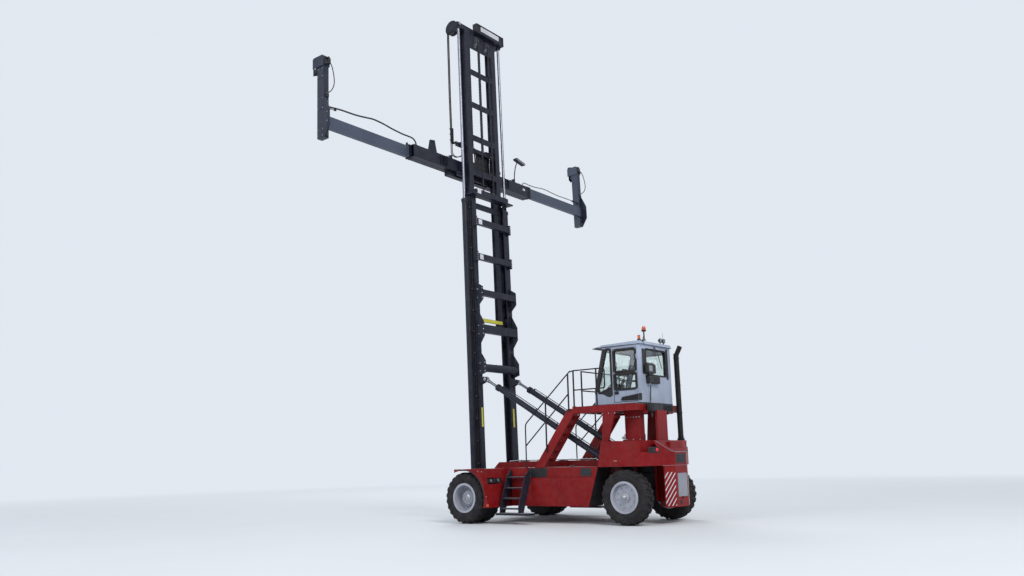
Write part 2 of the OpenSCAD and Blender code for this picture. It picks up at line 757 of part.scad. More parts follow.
module cab_glass() {
  inset = 0.4;
  y = cab_y - cab_wall / 2;
  paint(glass) {
    both_sides() side_plate([[door_rear + door_w + 70 + inset, sill_z + 60 + inset], [door_rear + door_w + 70 + inset, wall_high - 70 - inset],
              [cab_front_x - screen_lean - cab_wall - 60 - inset, wall_high - 70 - inset], [cab_front_x - cab_wall - 60 - inset, sill_z + 20 + inset],
              [cab_front_x - cab_wall - 100 - inset, sill_z - 60 + inset * 3]], y - glass_t / 2, y + glass_t / 2);
    block([door_rear + 60 + inset, -y - glass_t / 2, sill_z + inset], [door_rear + door_w - 60 - inset, -y + glass_t / 2, door_high - 60 - inset]);
    block([cab_rear + cab_wall / 2 - glass_t / 2, -cab_y + 270 + inset, sill_z + 320 + inset],
          [cab_rear + cab_wall / 2 + glass_t / 2, cab_y - 270 - inset, wall_high - 90 - inset]);
    difference() {
      side_plate([[cab_front_x - cab_wall / 2 + glass_t / 2, wall_low], [cab_front_x - cab_wall / 2 + glass_t / 2, sill_z],
                [cab_front_x - screen_lean - cab_wall / 2 + glass_t / 2, wall_high],
                [cab_front_x - screen_lean - cab_wall / 2 - glass_t / 2, wall_high], [cab_front_x - cab_wall / 2 - glass_t / 2, sill_z],
                [cab_front_x - cab_wall / 2 - glass_t / 2, wall_low]], -cab_y + 70 + inset, cab_y - 70 - inset);
      block([cab_front_x - 600, -cab_y, wall_low - 1], [cab_front_x + 1, cab_y, sill_z - 100 + inset]);
      block([cab_front_x - 600, -cab_y, wall_high - 70 - inset], [cab_front_x + 1, cab_y, wall_high + 1]);
    }
  }
}

module door_glass() {
  inset = 0.4;
  y = cab_y - cab_wall / 2;
  paint(glass) block([door_rear + 60 + inset, y - glass_t / 2, sill_z + inset],
                     [door_rear + door_w - 60 - inset, y + glass_t / 2, door_high - 60 - inset]);
}

module seat() {
  x = cab_rear + 280;
  z = wall_low;
  paint(black) {
    block([x + 80, -150, z + 0.3], [x + 330, 150, z + 300]);
    block([x, -250, z + 299], [x + 500, 250, z + 430]);
    side_plate([[x, z + 400], [x - 120, z + 1080], [x - 20, z + 1080], [x + 110, z + 400]], -230, 230);
  }
}

module console() {
  paint(black) {
    block([cab_front_x - 330, -180, wall_low + 0.3], [cab_front_x - 150, 180, wall_low + 520]);
    translate([cab_front_x - 330, 0, wall_low + 620]) rotate([0, -25, 0]) {
      cylinder(r = 190, h = 25);
      translate([0, 0, -160]) cylinder(r = 30, h = 161);
    }
  }
}

// Beacon on a bracket, a smaller lamp before it, and two lamps facing back
module roof_lamps() {
  y = cab_y - 120;
  z = cab_top + seat;
  paint([0.9, 0.35, 0.05]) {
    block([cab_rear - 110, y - 35, z], [cab_rear + 130, y + 35, z + 20]);
    translate([cab_rear - 72, y, z + 19]) cylinder(r = 20, h = 212);
    translate([cab_rear - 72, y, z + 230]) cylinder(r1 = 62, r2 = 52, h = 125);
    translate([cab_rear + 75, y, z + 19]) cylinder(r = 42, h = 130);
    for (y = [-380, -560]) translate([cab_rear + 40, y, z]) {
      cylinder(r = 15, h = 60);
      translate([-30, 0, 100]) rotate([0, 90, 0]) cylinder(r = 60, h = 70);
    }
  }
}

// Mast: channel uprights outside, I-section uprights that interlock with them inside
outer_y = outer_w / 2;
outer_in = outer_y - outer_flange;
outer_front = mast_rear + outer_depth;
outer_mid = mast_rear + outer_depth / 2;
flange_t = 35;
web_t = 30;
inner_y = inner_w / 2;
inner_in = inner_y - inner_flange;
inner_mid = inner_rear + inner_depth / 2;
inner_flange_t = 30;
inner_roller_r = inner_depth / 2 - inner_flange_t - pin_gap;
outer_roller_r = outer_depth / 2 - flange_t - pin_gap;
inner_web = outer_in - slide_gap;
inner_web_t = 26;
// Height, depth behind the flanges and half height of each box bar
bars = [[8560, 120, 90], [7490, 120, 90], [6380, 240, 90], [5320, 240, 120]];
bar_deep = 120;
tube_z = 4210;
tube_r = 119;
gusset_out = 240;
gusset_t = 25;
bar_half = outer_y - 65;
// Heights of the corners of each gusset: lower root, lower edge, upper edge, upper root
gussets = [[5960, 6190, 6560, 6720], [4790, 5120, 5500, 5950], [3990, 4060, 4400, 4780]];
top_notch = 420;

module outer_upright() {
  difference() {
    union() {
      difference() {
        block([mast_rear, outer_in, mast_low], [outer_front, outer_y, outer_top]);
        block([mast_rear + flange_t, outer_in - 1, mast_low - 1], [outer_front - flange_t, outer_y - web_t, outer_top + 1]);
        // Notch for the top roller
        block([mast_rear + flange_t, outer_in - 1, outer_top - top_notch], [outer_front + 1, outer_y - web_t, outer_top + 1]);
      }
      // Gusset plates that reach back to the lower crossbars
      for (g = gussets)
        side_plate([[mast_rear + 1, g[0]], [mast_rear - gusset_out, g[1]], [mast_rear - gusset_out, g[2]], [mast_rear + 1, g[3]]],
                   bar_half, bar_half + gusset_t);
      // End brackets of the two upper bars
      for (b = bars) if (b[1] < gusset_out)
        block([mast_rear - b[1], bar_half, b[0] - 150], [mast_rear + 1, outer_y, b[0] + 150]);
      // Foot that turns on the frame's pivot
      block([pivot_x - 90, frame_y + 5, pivot_z - 120], [outer_front - flange_t + 1, outer_in + 1, pivot_z + 80]);
      block([pivot_x - 90, outer_in, pivot_z - 120], [mast_rear + 1, outer_y - 30, pivot_z + 80]);
    }
    cross_rod(pivot_x, pivot_z, pivot_r + pin_gap, frame_y, outer_in + 30);
  }
  // Ears for the tilt rod
  for (y = [tilt_y - eye_half - 30, tilt_y + eye_half + 5]) {
    side_plate([[mast_rear + 1, eye_z - 130], [eye_x, eye_z - 60], [eye_x, eye_z + 60], [mast_rear + 1, eye_z + 110]], y, y + 25);
    cross_rod(eye_x, eye_z, 62, y, y + 25);
  }
  cross_rod(eye_x, eye_z, eye_pin, tilt_y - eye_half - 30, tilt_y + eye_half + 30);
  // Roller at the top, on an axle from the web
  translate([inner_mid, inner_web + 6, outer_top - top_notch / 2]) rotate([-90, 0, 0])
    cylinder(r = inner_roller_r, h = inner_y - inner_web - 8);
  translate([inner_mid - 60, inner_y - 10, outer_top - top_notch / 2]) rotate([-90, 0, 0]) cylinder(r = 38, h = outer_y - inner_y);
}

module outer_uprights() mast_paint(charcoal) both_sides() outer_upright();

crosshead_h = 40;
top_box_h = 150;

module outer_crossbars() {
  w = bar_half - seat;
  x1 = mast_rear - seat;
  mast_paint(charcoal) {
    for (b = bars) block([mast_rear - b[1], -w, b[0] - b[2]], [mast_rear - b[1] + bar_deep - seat, w, b[0] + b[2]]);
    cross_rod(mast_rear - tube_r - 1, tube_z, tube_r, -w, w);
    // Crosshead plate with a box beam on it
    block([mast_rear - 170, -lift_y + 20, outer_top + seat], [inner_rear - 30, lift_y - 20, outer_top + crosshead_h]);
    block([mast_rear - 130, -w, outer_top + crosshead_h - 1], [mast_rear + 20, w, outer_top + crosshead_h + top_box_h]);
    block([mast_rear - 105, -w, pivot_z + 330], [x1, w, pivot_z + 450]);
  }
}

lift_x = mast_rear + 175;
lift_y = outer_y + 145;
barrel_r = lift_bore + barrel_wall;
barrel_top = outer_top - 120;

module lift_barrels() {
  mast_paint(charcoal) both_sides() {
    difference() {
      translate([lift_x, lift_y, mast_low + 60]) cylinder(r = barrel_r, h = barrel_top - mast_low - 60);
      translate([lift_x, lift_y, mast_low + 120]) cylinder(r = lift_bore, h = outer_top - mast_low);
    }
    // Foot and clamps on the upright's side
    block([lift_x - 70, outer_y + seat, mast_low], [lift_x + 70, lift_y + 70, mast_low + 61]);
    for (z = [2600, 5200, 7800, barrel_top - 90]) difference() {
      block([lift_x - 45, outer_y + seat, z], [lift_x + 45, lift_y, z + 70]);
      translate([lift_x, lift_y, z - 1]) cylinder(r = barrel_r - 2, h = 72);
    }
  }
}

// Tilt cylinders, opened at the rod's eye
eye_x = 178;
eye_z = 3870;
eye_pin = 30;
eye_at = leaned(eye_x, eye_z);
tilt_dx = eye_at[0] - tilt_base_x;
tilt_dz = eye_at[1] - tilt_base_z;
tilt_len = norm([tilt_dx, tilt_dz]);
tilt_angle = atan2(tilt_dz, tilt_dx);
tilt_bore = 62;
tilt_rod_r = 38;
eye_half = 45;
eye_r = 72;
tilt_barrel_l = tilt_len - 480;
piston_at = tilt_barrel_l - 700;

module along_tilt() {
  translate([tilt_base_x, tilt_y, tilt_base_z]) rotate([0, 90 - tilt_angle, 0]) children();
}

module tilt_barrel() {
  along_tilt() difference() {
    union() {
      translate([0, 0, 70]) cylinder(r = tilt_bore + barrel_wall, h = tilt_barrel_l - 70);
      rotate([90, 0, 0]) translate([0, 0, -60]) cylinder(r = 90, h = 120);
    }
    translate([0, 0, 300]) cylinder(r = tilt_bore, h = tilt_barrel_l - 330);
    translate([0, 0, 300]) cylinder(r = tilt_rod_r + 1, h = tilt_barrel_l);
    rotate([90, 0, 0]) translate([0, 0, -100]) cylinder(r = tilt_pin + pin_gap, h = 200);
  }
}

module tilt_rod() {
  along_tilt() {
    translate([0, 0, piston_at]) cylinder(r = tilt_rod_r, h = tilt_len - piston_at - eye_r + 10);
    translate([0, 0, piston_at]) cylinder(r = tilt_bore - 1, h = 120);
    difference() {
      translate([0, eye_half, tilt_len]) rotate([90, 0, 0]) cylinder(r = eye_r, h = 2 * eye_half);
      translate([0, eye_half + 1, tilt_len]) rotate([90, 0, 0]) cylinder(r = eye_pin + 14, h = 2 * eye_half + 2);
    }
  }
}

module tilt_barrel_left() paint(charcoal) tilt_barrel();
module tilt_barrel_right() paint(charcoal) mirror([0, 1, 0]) tilt_barrel();
module tilt_rod_left() paint(chrome) tilt_rod();
module tilt_rod_right() paint(chrome) mirror([0, 1, 0]) tilt_rod();

// Inner mast
inner_bar_zs = [13490, 12400, 11310, 10220, 9130];
bar_t = 30;
foot_notch = 300;
foot_roller_z = inner_low + foot_notch / 2;

module inner_upright() {
  difference() {
    block([inner_rear, inner_in, inner_low], [inner_front, inner_y, inner_top]);
    block([inner_rear + inner_flange_t, inner_web, inner_low - 1], [inner_front - inner_flange_t, inner_y + 1, inner_top + 1]);
    block([inner_rear + inner_flange_t, inner_in - 1, inner_low - 1],
          [inner_front - inner_flange_t, inner_web - inner_web_t, inner_top + 1]);
    // Notch for the foot roller
    block([inner_rear - 1, inner_web, inner_low - 1], [inner_front - inner_flange_t, inner_y + 1, inner_low + foot_notch]);
  }
  // Foot roller that runs in the outer channel
  translate([outer_mid, outer_in + 6, foot_roller_z]) rotate([-90, 0, 0])
    cylinder(r = outer_roller_r, h = outer_flange - web_t - 12);
  translate([outer_mid + 15, inner_web - 10, foot_roller_z]) rotate([-90, 0, 0]) cylinder(r = 38, h = slide_gap + 20);
}

module inner_uprights() mast_paint(charcoal) both_sides() inner_upright();

head_h = 150;
chain_y = 245;
sheave_r = 160;
sheave_x = inner_mid - 70;
sheave_z = inner_top - 225;
cheek_y = 50;
cheek_t = 14;
sign_y = [-1060, 290];
hood_r = 245;
hood_x = inner_front + 190;
hood_y = 750;

module inner_crossbars() {
  w = inner_in - seat;
  mast_paint(charcoal) {
    for (z = inner_bar_zs) block([inner_rear, -w, z - 90], [inner_rear + bar_t, w, z + 90]);
    block([inner_rear, -w, inner_low + 40], [inner_rear + bar_t, w, inner_low + 150]);
    // Head beam on the uprights and the lift rods, with cheeks for the chain sheaves
    block([inner_rear, -lift_y - 90, inner_top + seat], [inner_front, lift_y + 90, inner_top + head_h]);
    both_sides() for (y = [chain_y - cheek_y - cheek_t, chain_y + cheek_y])
      block([sheave_x - 60, y, sheave_z - 70], [sheave_x + 60, y + cheek_t, inner_top + 1]);
    difference() {
      block([inner_rear, -w, inner_top - 520], [inner_rear + bar_t, w, inner_top + 1]);
      both_sides() block([inner_rear - 1, chain_y - cheek_y - 12, sheave_z - 210],
                         [inner_rear + bar_t + 1, chain_y + cheek_y + 12, inner_top + 2]);
    }
    // Plain panel box on the beam, and the hood of the hose sheave
    difference() {
      block([inner_rear - 140, sign_y[0], inner_top + 40], [inner_rear + 30, sign_y[1], inner_top + 350]);
      block([inner_rear - 141, sign_y[0] + 30, inner_top + 70], [inner_rear - 125, sign_y[1] - 30, inner_top + 320]);
    }
    difference() {
      union() {
        translate([hood_x, hood_y + 70, inner_top + 180]) rotate([90, 0, 0]) cylinder(r = hood_r, h = 140);
        block([inner_front - 90, hood_y - 70, inner_top + head_h - 1], [hood_x, hood_y + 70, inner_top + head_h + 90]);
      }
      translate([hood_x, hood_y + 60, inner_top + 180]) rotate([90, 0, 0]) cylinder(r = hood_r - 14, h = 120);
      block([hood_x - 400, hood_y - 71, inner_top - 200], [hood_x + 400, hood_y + 71, inner_top + 60]);
    }
  }
}

module lift_rods() {
  mast_paint(chrome) both_sides() translate([lift_x, lift_y, inner_low + 600])
    cylinder(r = lift_rod, h = inner_top - inner_low - 600);
}

// Grooved sheaves for the two lift chains
module chain_sheaves() {
  mast_paint(steel) both_sides() translate([sheave_x, chain_y, sheave_z]) rotate([90, 0, 0]) {
    rotate_extrude($fn = 64) polygon([[25, -42], [sheave_r + 18, -42], [sheave_r + 18, -34], [sheave_r, -30],
                                      [sheave_r, 30], [sheave_r + 18, 34], [sheave_r + 18, 42], [25, 42]]);
    translate([0, 0, -cheek_y + seat]) cylinder(r = 26, h = 2 * (cheek_y - seat));
  }
}

// Carriage
rail_zs = [beam_z - 250, beam_z + 690];
rail_half = 70;
carriage_low = rail_zs[0] - rail_half;
carriage_top = rail_zs[1] + rail_half;
carriage_roller_z = [340, 190];

module carriage() {
  side_out = inner_in - 8;
  mast_paint(charcoal) {
    both_sides() {
      block([inner_mid - 70, side_out - 45, carriage_low], [rail_x0 + 1, side_out, carriage_top]);
      for (z = [carriage_low + carriage_roller_z[0], carriage_top - carriage_roller_z[1]])
        translate([inner_mid, side_out - 1, z]) rotate([-90, 0, 0])
          cylinder(r = inner_roller_r, h = inner_web - inner_web_t - side_out - 4);
    }
    for (z = rail_zs) block([rail_x0, -1000, z - rail_half], [rail_x1, 1000, z + rail_half]);
    // Beam that the chains are anchored to
    block([sheave_x + sheave_r - 40, -side_out + 44, carriage_top - 190], [rail_x0 + 1, side_out - 44, carriage_top - 60]);
  }
}

// Spreader
guide_z0 = beam_z - guide_h / 2;
guide_z1 = beam_z + guide_h / 2;
arm_w = guide_w - 2 * guide_wall - 2 * arm_gap;
arm_h = guide_h - 2 * guide_wall - 2 * arm_gap;
arm_in_l = 780;
lock_y = lock_span / 2;
post_y = lock_y - 50;
stem_x0 = post_x1 - 260;
flare_x0 = stem_x0 - 200;
flare_t = 30;
post_low = beam_z - 520;

// Slide pads round an arm, as thick as the space less a running fit
module pads(x, y0, y1, out, in) {
  difference() {
    block([x - out, y0, beam_z - arm_h / 2 - out], [x + arm_w + out, y1, beam_z + arm_h / 2 + out]);
    block([x - in, y0 - 1, beam_z - arm_h / 2 - in], [x + arm_w + in, y1 + 1, beam_z + arm_h / 2 + in]);
  }
}

module guide_tube(x) {
  difference() {
    block([x, -middle_l / 2, guide_z0], [x + guide_w, middle_l / 2, guide_z1]);
    block([x + guide_wall, -middle_l / 2 - 1, guide_z0 + guide_wall], [x + guide_w - guide_wall, middle_l / 2 + 1, guide_z1 - guide_wall]);
  }
}

hook_x0 = rail_x0 - 4;
hook_ys = [430, 640];
hook_t = 45;

module spreader_frame() {
  mast_paint(charcoal) {
    guide_tube(guide_x0);
    guide_tube(guide_x1);
    pads(guide_x1 + guide_wall + arm_gap, middle_l / 2 - 120, middle_l / 2, arm_gap + 1, pin_gap);
    mirror([0, 1, 0]) pads(guide_x0 + guide_wall + arm_gap, middle_l / 2 - 120, middle_l / 2, arm_gap + 1, pin_gap);
    block([guide_x0 + 100, -1200, guide_z0 - 140], [guide_x1 + guide_w - 60, 1200, guide_z0 + 1]);
    for (y = [-2000, -1100, 1100])
      block([guide_x0 + 40, y - 20, guide_z1 - 1], [guide_x1 + guide_w - 40, y + 20, guide_z1 + 130]);
    // Ear plate on the left
    cross_plate([[1800, guide_z1 - 1], [1880, guide_z1 + 365], [2080, guide_z1 + 330], [2160, guide_z1 - 1]],
                guide_x0 + 5, guide_x0 + 35);
    // Hangers that hook over the carriage's upper rail and under its lower one
    both_sides() {
      block([rail_x1 + pin_gap, hook_ys[0], carriage_low - hook_t], [guide_x0 + 1, hook_ys[1], carriage_top + hook_t]);
      block([hook_x0, hook_ys[0], carriage_top + pin_gap], [rail_x1 + 1, hook_ys[1], carriage_top + hook_t]);
      block([hook_x0, hook_ys[0], carriage_low - hook_t], [rail_x1 + 1, hook_ys[1], carriage_low - pin_gap]);
      block([guide_x0, hook_ys[0], guide_z1 - 1], [guide_x0 + 60, hook_ys[1], carriage_top + hook_t]);
    }
  }
}

module arm(x) {
  y0 = middle_l / 2 - arm_in_l;
  out = post_y + post_w / 2;
  difference() {
    block([x + guide_wall + arm_gap, y0, beam_z - arm_h / 2],
          [x + guide_wall + arm_gap + arm_w, out - flare_t + 1, beam_z + arm_h / 2]);
    block([x + guide_wall + arm_gap + 12, y0 - 1, beam_z - arm_h / 2 + 12],
          [x + guide_wall + arm_gap + arm_w - 12, out - post_w - 40, beam_z + arm_h / 2 - 12]);
  }
  pads(x + guide_wall + arm_gap, y0 + 5, y0 + 125, arm_gap - pin_gap, -1);
  // Stem, and the plate on its outer side that flares behind the arm
  block([stem_x0, out - post_w, post_low], [post_x1, out, head_z0 + 1]);
  side_plate([[flare_x0, beam_z - 220], [stem_x0, post_low], [stem_x0 + 40, post_low], [stem_x0 + 40, beam_z + 630],
              [stem_x0, beam_z + 630], [flare_x0, beam_z + 210]], out - flare_t, out);
  // Head with the lock's bore
  difference() {
    side_plate([[stem_x0 - 10, head_z0], [head_out, head_z0], [head_out, head_z1 - 40], [head_out - 40, head_z1],
                [stem_x0 + 30, head_z1], [stem_x0 - 10, head_z1 - 40]], post_y - 110, post_y + 110);
    translate([lock_x, lock_y, head_z0 - 1]) cylinder(r = 45.5, h = 200);
  }
}

module arm_left() mast_paint(arm_grey) arm(guide_x1);
module arm_right() mast_paint(arm_grey) mirror([0, 1, 0]) arm(guide_x0);

module lock() {
  translate([lock_x, lock_y, head_z0]) {
    translate([0, 0, -30]) cylinder(r = 45, h = 220);
    translate([-50, -28, -60]) cube([100, 56, 35]);
  }
}

module lock_left() mast_paint(steel) lock();
module lock_right() mast_paint(steel) mirror([0, 1, 0]) lock();

chassis_frame();
drive_axle();
steer_axle();
engine();
fenders();
side_tanks();
rear_hull();
counterweight();
radiator_hood();
exhaust_stack();
steps();
stairs();
platform();
cab_columns();
handrails();
cab_floor();
cab_front();
cab_rear_wall();
cab_left();
cab_right();
cab_roof();
cab_door();
cab_glass();
door_glass();
seat();
console();
roof_lamps();
drive_tyres_left();
drive_rims_left();
drive_tyres_right();
drive_rims_right();
knuckle_left();
knuckle_right();
steer_tyre_left();
steer_rim_left();
steer_tyre_right();
steer_rim_right();
outer_uprights();
outer_crossbars();
lift_barrels();
tilt_barrel_left();
tilt_rod_left();
tilt_barrel_right();
tilt_rod_right();
inner_uprights();
inner_crossbars();
lift_rods();
chain_sheaves();
carriage();
spreader_frame();
arm_left();
arm_right();
lock_left();
lock_right();
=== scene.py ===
import json
import math
import random

import bmesh
import bpy
from mathutils import Matrix, Vector


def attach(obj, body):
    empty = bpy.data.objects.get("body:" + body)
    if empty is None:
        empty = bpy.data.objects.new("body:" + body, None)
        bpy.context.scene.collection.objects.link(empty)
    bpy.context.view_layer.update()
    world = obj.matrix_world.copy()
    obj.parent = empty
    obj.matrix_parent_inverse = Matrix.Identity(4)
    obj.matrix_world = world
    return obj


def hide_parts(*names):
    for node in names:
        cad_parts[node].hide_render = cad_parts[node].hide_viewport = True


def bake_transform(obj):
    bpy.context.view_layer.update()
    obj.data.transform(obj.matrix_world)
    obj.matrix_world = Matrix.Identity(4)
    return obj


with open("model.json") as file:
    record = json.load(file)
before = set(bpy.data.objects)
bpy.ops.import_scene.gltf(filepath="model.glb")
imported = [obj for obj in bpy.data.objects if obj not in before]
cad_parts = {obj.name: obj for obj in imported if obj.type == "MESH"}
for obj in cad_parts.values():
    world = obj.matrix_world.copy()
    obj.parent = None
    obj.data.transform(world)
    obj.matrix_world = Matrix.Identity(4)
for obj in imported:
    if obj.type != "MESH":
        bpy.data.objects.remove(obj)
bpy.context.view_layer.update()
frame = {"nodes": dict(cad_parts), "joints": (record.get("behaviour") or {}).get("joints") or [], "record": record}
random.seed(7)

# ---------------------------------------------------------------- places
JOINTS = {j["name"]: j for j in frame["joints"]}
MM = 0.001
ORIGIN_X = JOINTS["drive_left_spin"]["pos_m"][0]
WHEELBASE = (ORIGIN_X - JOINTS["steer_left"]["pos_m"][0]) / MM
UP = JOINTS["inner_lift"]["axis"]
LEAN = math.atan2(UP[0], UP[2])
PIVOT_X = (JOINTS["mast_tilt"]["pos_m"][0] - ORIGIN_X) / MM
PIVOT_Z = JOINTS["mast_tilt"]["pos_m"][2] / MM


def spot(p):
    """A point given in the truck's millimetres, x from the drive axle, in the row frame."""
    return Vector((p[0] * MM + ORIGIN_X, p[1] * MM, p[2] * MM))


def mast_spot(p):
    """A point given in the upright mast's millimetres, leaned as the mast is."""
    dx, dz = p[0] - PIVOT_X, p[2] - PIVOT_Z
    c, s = math.cos(LEAN), math.sin(LEAN)
    return spot((PIVOT_X + dx * c + dz * s, p[1], PIVOT_Z + dz * c - dx * s))


# ---------------------------------------------------------------- materials
class Nodes:
    """A small help for building a node tree."""

    def __init__(self, name):
        self.mat = bpy.data.materials.new(name)
        self.mat.use_nodes = True
        self.tree = self.mat.node_tree
        self.tree.nodes.clear()
        self.out = self.add("ShaderNodeOutputMaterial")
        self.shader = self.add("ShaderNodeBsdfPrincipled")
        self.link(self.shader.outputs[0], self.out.inputs[0])
        self.coord = self.add("ShaderNodeTexCoord").outputs["Object"]

    def add(self, kind, **values):
        node = self.tree.nodes.new(kind)
        for key, value in values.items():
            setattr(node, key, value)
        return node

    def link(self, a, b):
        self.tree.links.new(a, b)

    def put(self, node, socket, value):
        if isinstance(value, bpy.types.NodeSocket):
            self.link(value, node.inputs[socket])
        else:
            node.inputs[socket].default_value = value

    def noise(self, scale, detail=4.0, stretch=None, rough=0.55):
        node = self.add("ShaderNodeTexNoise")
        node.inputs["Scale"].default_value = scale
        node.inputs["Detail"].default_value = detail
        node.inputs["Roughness"].default_value = rough
        source = self.coord
        if stretch:
            mapping = self.add("ShaderNodeMapping")
            mapping.inputs["Scale"].default_value = stretch
            self.link(source, mapping.inputs["Vector"])
            source = mapping.outputs[0]
        self.link(source, node.inputs["Vector"])
        return node.outputs["Fac"]

    def wave(self, direction, scale):
        node = self.add("ShaderNodeTexWave", bands_direction=direction)
        node.inputs["Scale"].default_value = scale
        self.link(self.coord, node.inputs["Vector"])
        return node.outputs["Fac"]

    def span(self, value, a, b, c=0.0, d=1.0):
        node = self.add("ShaderNodeMapRange", clamp=True)
        self.link(value, node.inputs["Value"])
        for key, v in zip(("From Min", "From Max", "To Min", "To Max"), (a, b, c, d)):
            node.inputs[key].default_value = v
        return node.outputs[0]

    def math(self, kind, a, b=0.0):
        node = self.add("ShaderNodeMath", operation=kind)
        self.put(node, 0, a)
        self.put(node, 1, b)
        return node.outputs[0]

    def mix(self, fac, a, b):
        node = self.add("ShaderNodeMix", data_type="RGBA")
        self.put(node, 0, fac)
        self.put(node, 6, a if isinstance(a, bpy.types.NodeSocket) else (*a, 1))
        self.put(node, 7, b if isinstance(b, bpy.types.NodeSocket) else (*b, 1))
        return node.outputs[2]

    def bump(self, height, strength, distance):
        node = self.add("ShaderNodeBump")
        node.inputs["Strength"].default_value = strength
        node.inputs["Distance"].default_value = distance
        self.link(height, node.inputs["Height"])
        self.link(node.outputs[0], self.shader.inputs["Normal"])

    def height(self):
        node = self.add("ShaderNodeSeparateXYZ")
        self.link(self.coord, node.inputs[0])
        return node.outputs[2]

    def upward(self):
        geometry = self.add("ShaderNodeNewGeometry")
        node = self.add("ShaderNodeSeparateXYZ")
        self.link(geometry.outputs["True Normal"], node.inputs[0])
        return node.outputs[2]

    def edges(self, radius):
        """1 on sharp edges, 0 on flats."""
        bevel = self.add("ShaderNodeBevel", samples=4)
        bevel.inputs["Radius"].default_value = radius
        geometry = self.add("ShaderNodeNewGeometry")
        dot = self.add("ShaderNodeVectorMath", operation="DOT_PRODUCT")
        self.link(bevel.outputs[0], dot.inputs[0])
        self.link(geometry.outputs["Normal"], dot.inputs[1])
        return self.span(dot.outputs["Value"], 0.97, 0.80)

    def finish(self, colour, rough, metallic=0.0, coat=0.0, spec=0.35):
        s = self.shader.inputs
        self.put(self.shader, "Base Color", colour)
        self.put(self.shader, "Roughness", rough)
        s["Metallic"].default_value = metallic
        s["Coat Weight"].default_value = coat
        s["Coat Roughness"].default_value = 0.25
        s["Specular IOR Level"].default_value = spec
        return self.mat


def paint(name, colour, rough=0.4, wear=0.5, dust=0.3, worn=(0.32, 0.30, 0.29), coat=0.15, low=2.5, far=None,
          spec=0.35):
    """Sprayed paint: cloudy tone, streaks of dirt from above, dust near the ground and worn edges.
    far is a second colour beyond a distance to either side."""
    n = Nodes(name)
    cloud = n.span(n.noise(0.9, 3), 0.3, 0.7)
    dark = tuple(c * 0.80 for c in colour)
    light = tuple(min(1.0, c * 1.12 + 0.004) for c in colour)
    base = n.mix(cloud, dark, light)
    if far:
        split = n.add("ShaderNodeSeparateXYZ")
        n.link(n.coord, split.inputs[0])
        side = n.span(n.math("ABSOLUTE", split.outputs[1]), far[0], far[0] + 0.002)
        base = n.mix(side, base, n.mix(cloud, tuple(c * 0.85 for c in far[1]), far[1]))
    streak = n.span(n.noise(5.0, 5, (1.6, 1.6, 0.16)), 0.52, 0.80, 0.0, 0.35)
    base = n.mix(streak, base, tuple(c * 0.45 + 0.01 for c in colour))
    ground = n.span(n.height(), low, 0.1, 0.05, dust)
    film = n.math("MULTIPLY", n.span(n.noise(7.0, 6), 0.35, 0.75), ground)
    flat = n.math("MULTIPLY", n.span(n.upward(), 0.6, 0.95, 0.0, dust * 0.8), n.span(n.noise(3.0, 5), 0.3, 0.6))
    film = n.math("MAXIMUM", film, flat)
    base = n.mix(film, base, (0.30, 0.26, 0.22))
    chip = n.math("MULTIPLY", n.edges(0.007), n.span(n.noise(22.0, 6), 0.50, 0.62, 0.0, wear))
    base = n.mix(chip, base, worn)
    fine = n.span(n.noise(60.0, 4), 0.3, 0.7, rough - 0.06, rough + 0.08)
    rough_map = n.math("ADD", fine, n.math("MULTIPLY", film, 0.35))
    n.bump(n.noise(180.0, 2), 0.04, 0.002)
    return n.finish(base, rough_map, coat=coat, spec=spec)


def metal(name, colour, rough, streaks=40.0, grime=0.3):
    """Bare steel with drawn streaks and oily patches."""
    n = Nodes(name)
    grain = n.noise(streaks, 5, (6.0, 6.0, 0.5))
    base = n.mix(n.span(grain, 0.3, 0.7), tuple(c * 0.85 for c in colour), colour)
    patch = n.span(n.noise(6.0, 5), 0.45, 0.75, 0.0, grime)
    base = n.mix(patch, base, (0.05, 0.045, 0.04))
    n.bump(grain, 0.05, 0.001)
    rough_map = n.math("ADD", n.span(grain, 0.3, 0.7, rough - 0.05, rough + 0.06), n.math("MULTIPLY", patch, 0.4))
    return n.finish(base, rough_map, metallic=1.0)


def rubber(name, colour, dust=0.35, rough=0.8):
    """Dull rubber with patches of dust."""
    n = Nodes(name)
    film = n.math("MULTIPLY", n.span(n.noise(9.0, 6), 0.35, 0.7), dust)
    base = n.mix(film, colour, (0.20, 0.17, 0.15))
    n.bump(n.noise(140.0, 4), 0.15, 0.002)
    return n.finish(base, n.span(n.noise(30.0), 0.3, 0.7, rough - 0.08, rough + 0.1), spec=0.3)


def plastic(name, colour, rough=0.5, grain=260.0):
    """Moulded plastic with a fine grain."""
    n = Nodes(name)
    cloud = n.span(n.noise(2.5, 4), 0.3, 0.7)
    base = n.mix(cloud, tuple(c * 0.85 for c in colour), tuple(min(1, c * 1.1) for c in colour))
    film = n.span(n.noise(12.0, 5), 0.5, 0.8, 0.0, 0.12)
    base = n.mix(film, base, (0.15, 0.15, 0.16))
    n.bump(n.noise(grain, 3), 0.12, 0.0008)
    return n.finish(base, n.span(n.noise(40.0), 0.3, 0.7, rough - 0.08, rough + 0.08))


def lens(name, colour, glow=0.0):
    """A moulded lamp lens with fine ribs."""
    n = Nodes(name)
    ribs = n.wave("DIAGONAL", 45.0)
    base = n.mix(n.span(ribs, 0.2, 0.8), tuple(c * 0.75 for c in colour), colour)
    n.bump(ribs, 0.25, 0.002)
    n.shader.inputs["Emission Color"].default_value = (*colour, 1)
    n.shader.inputs["Emission Strength"].default_value = glow
    return n.finish(base, 0.12, coat=0.6)


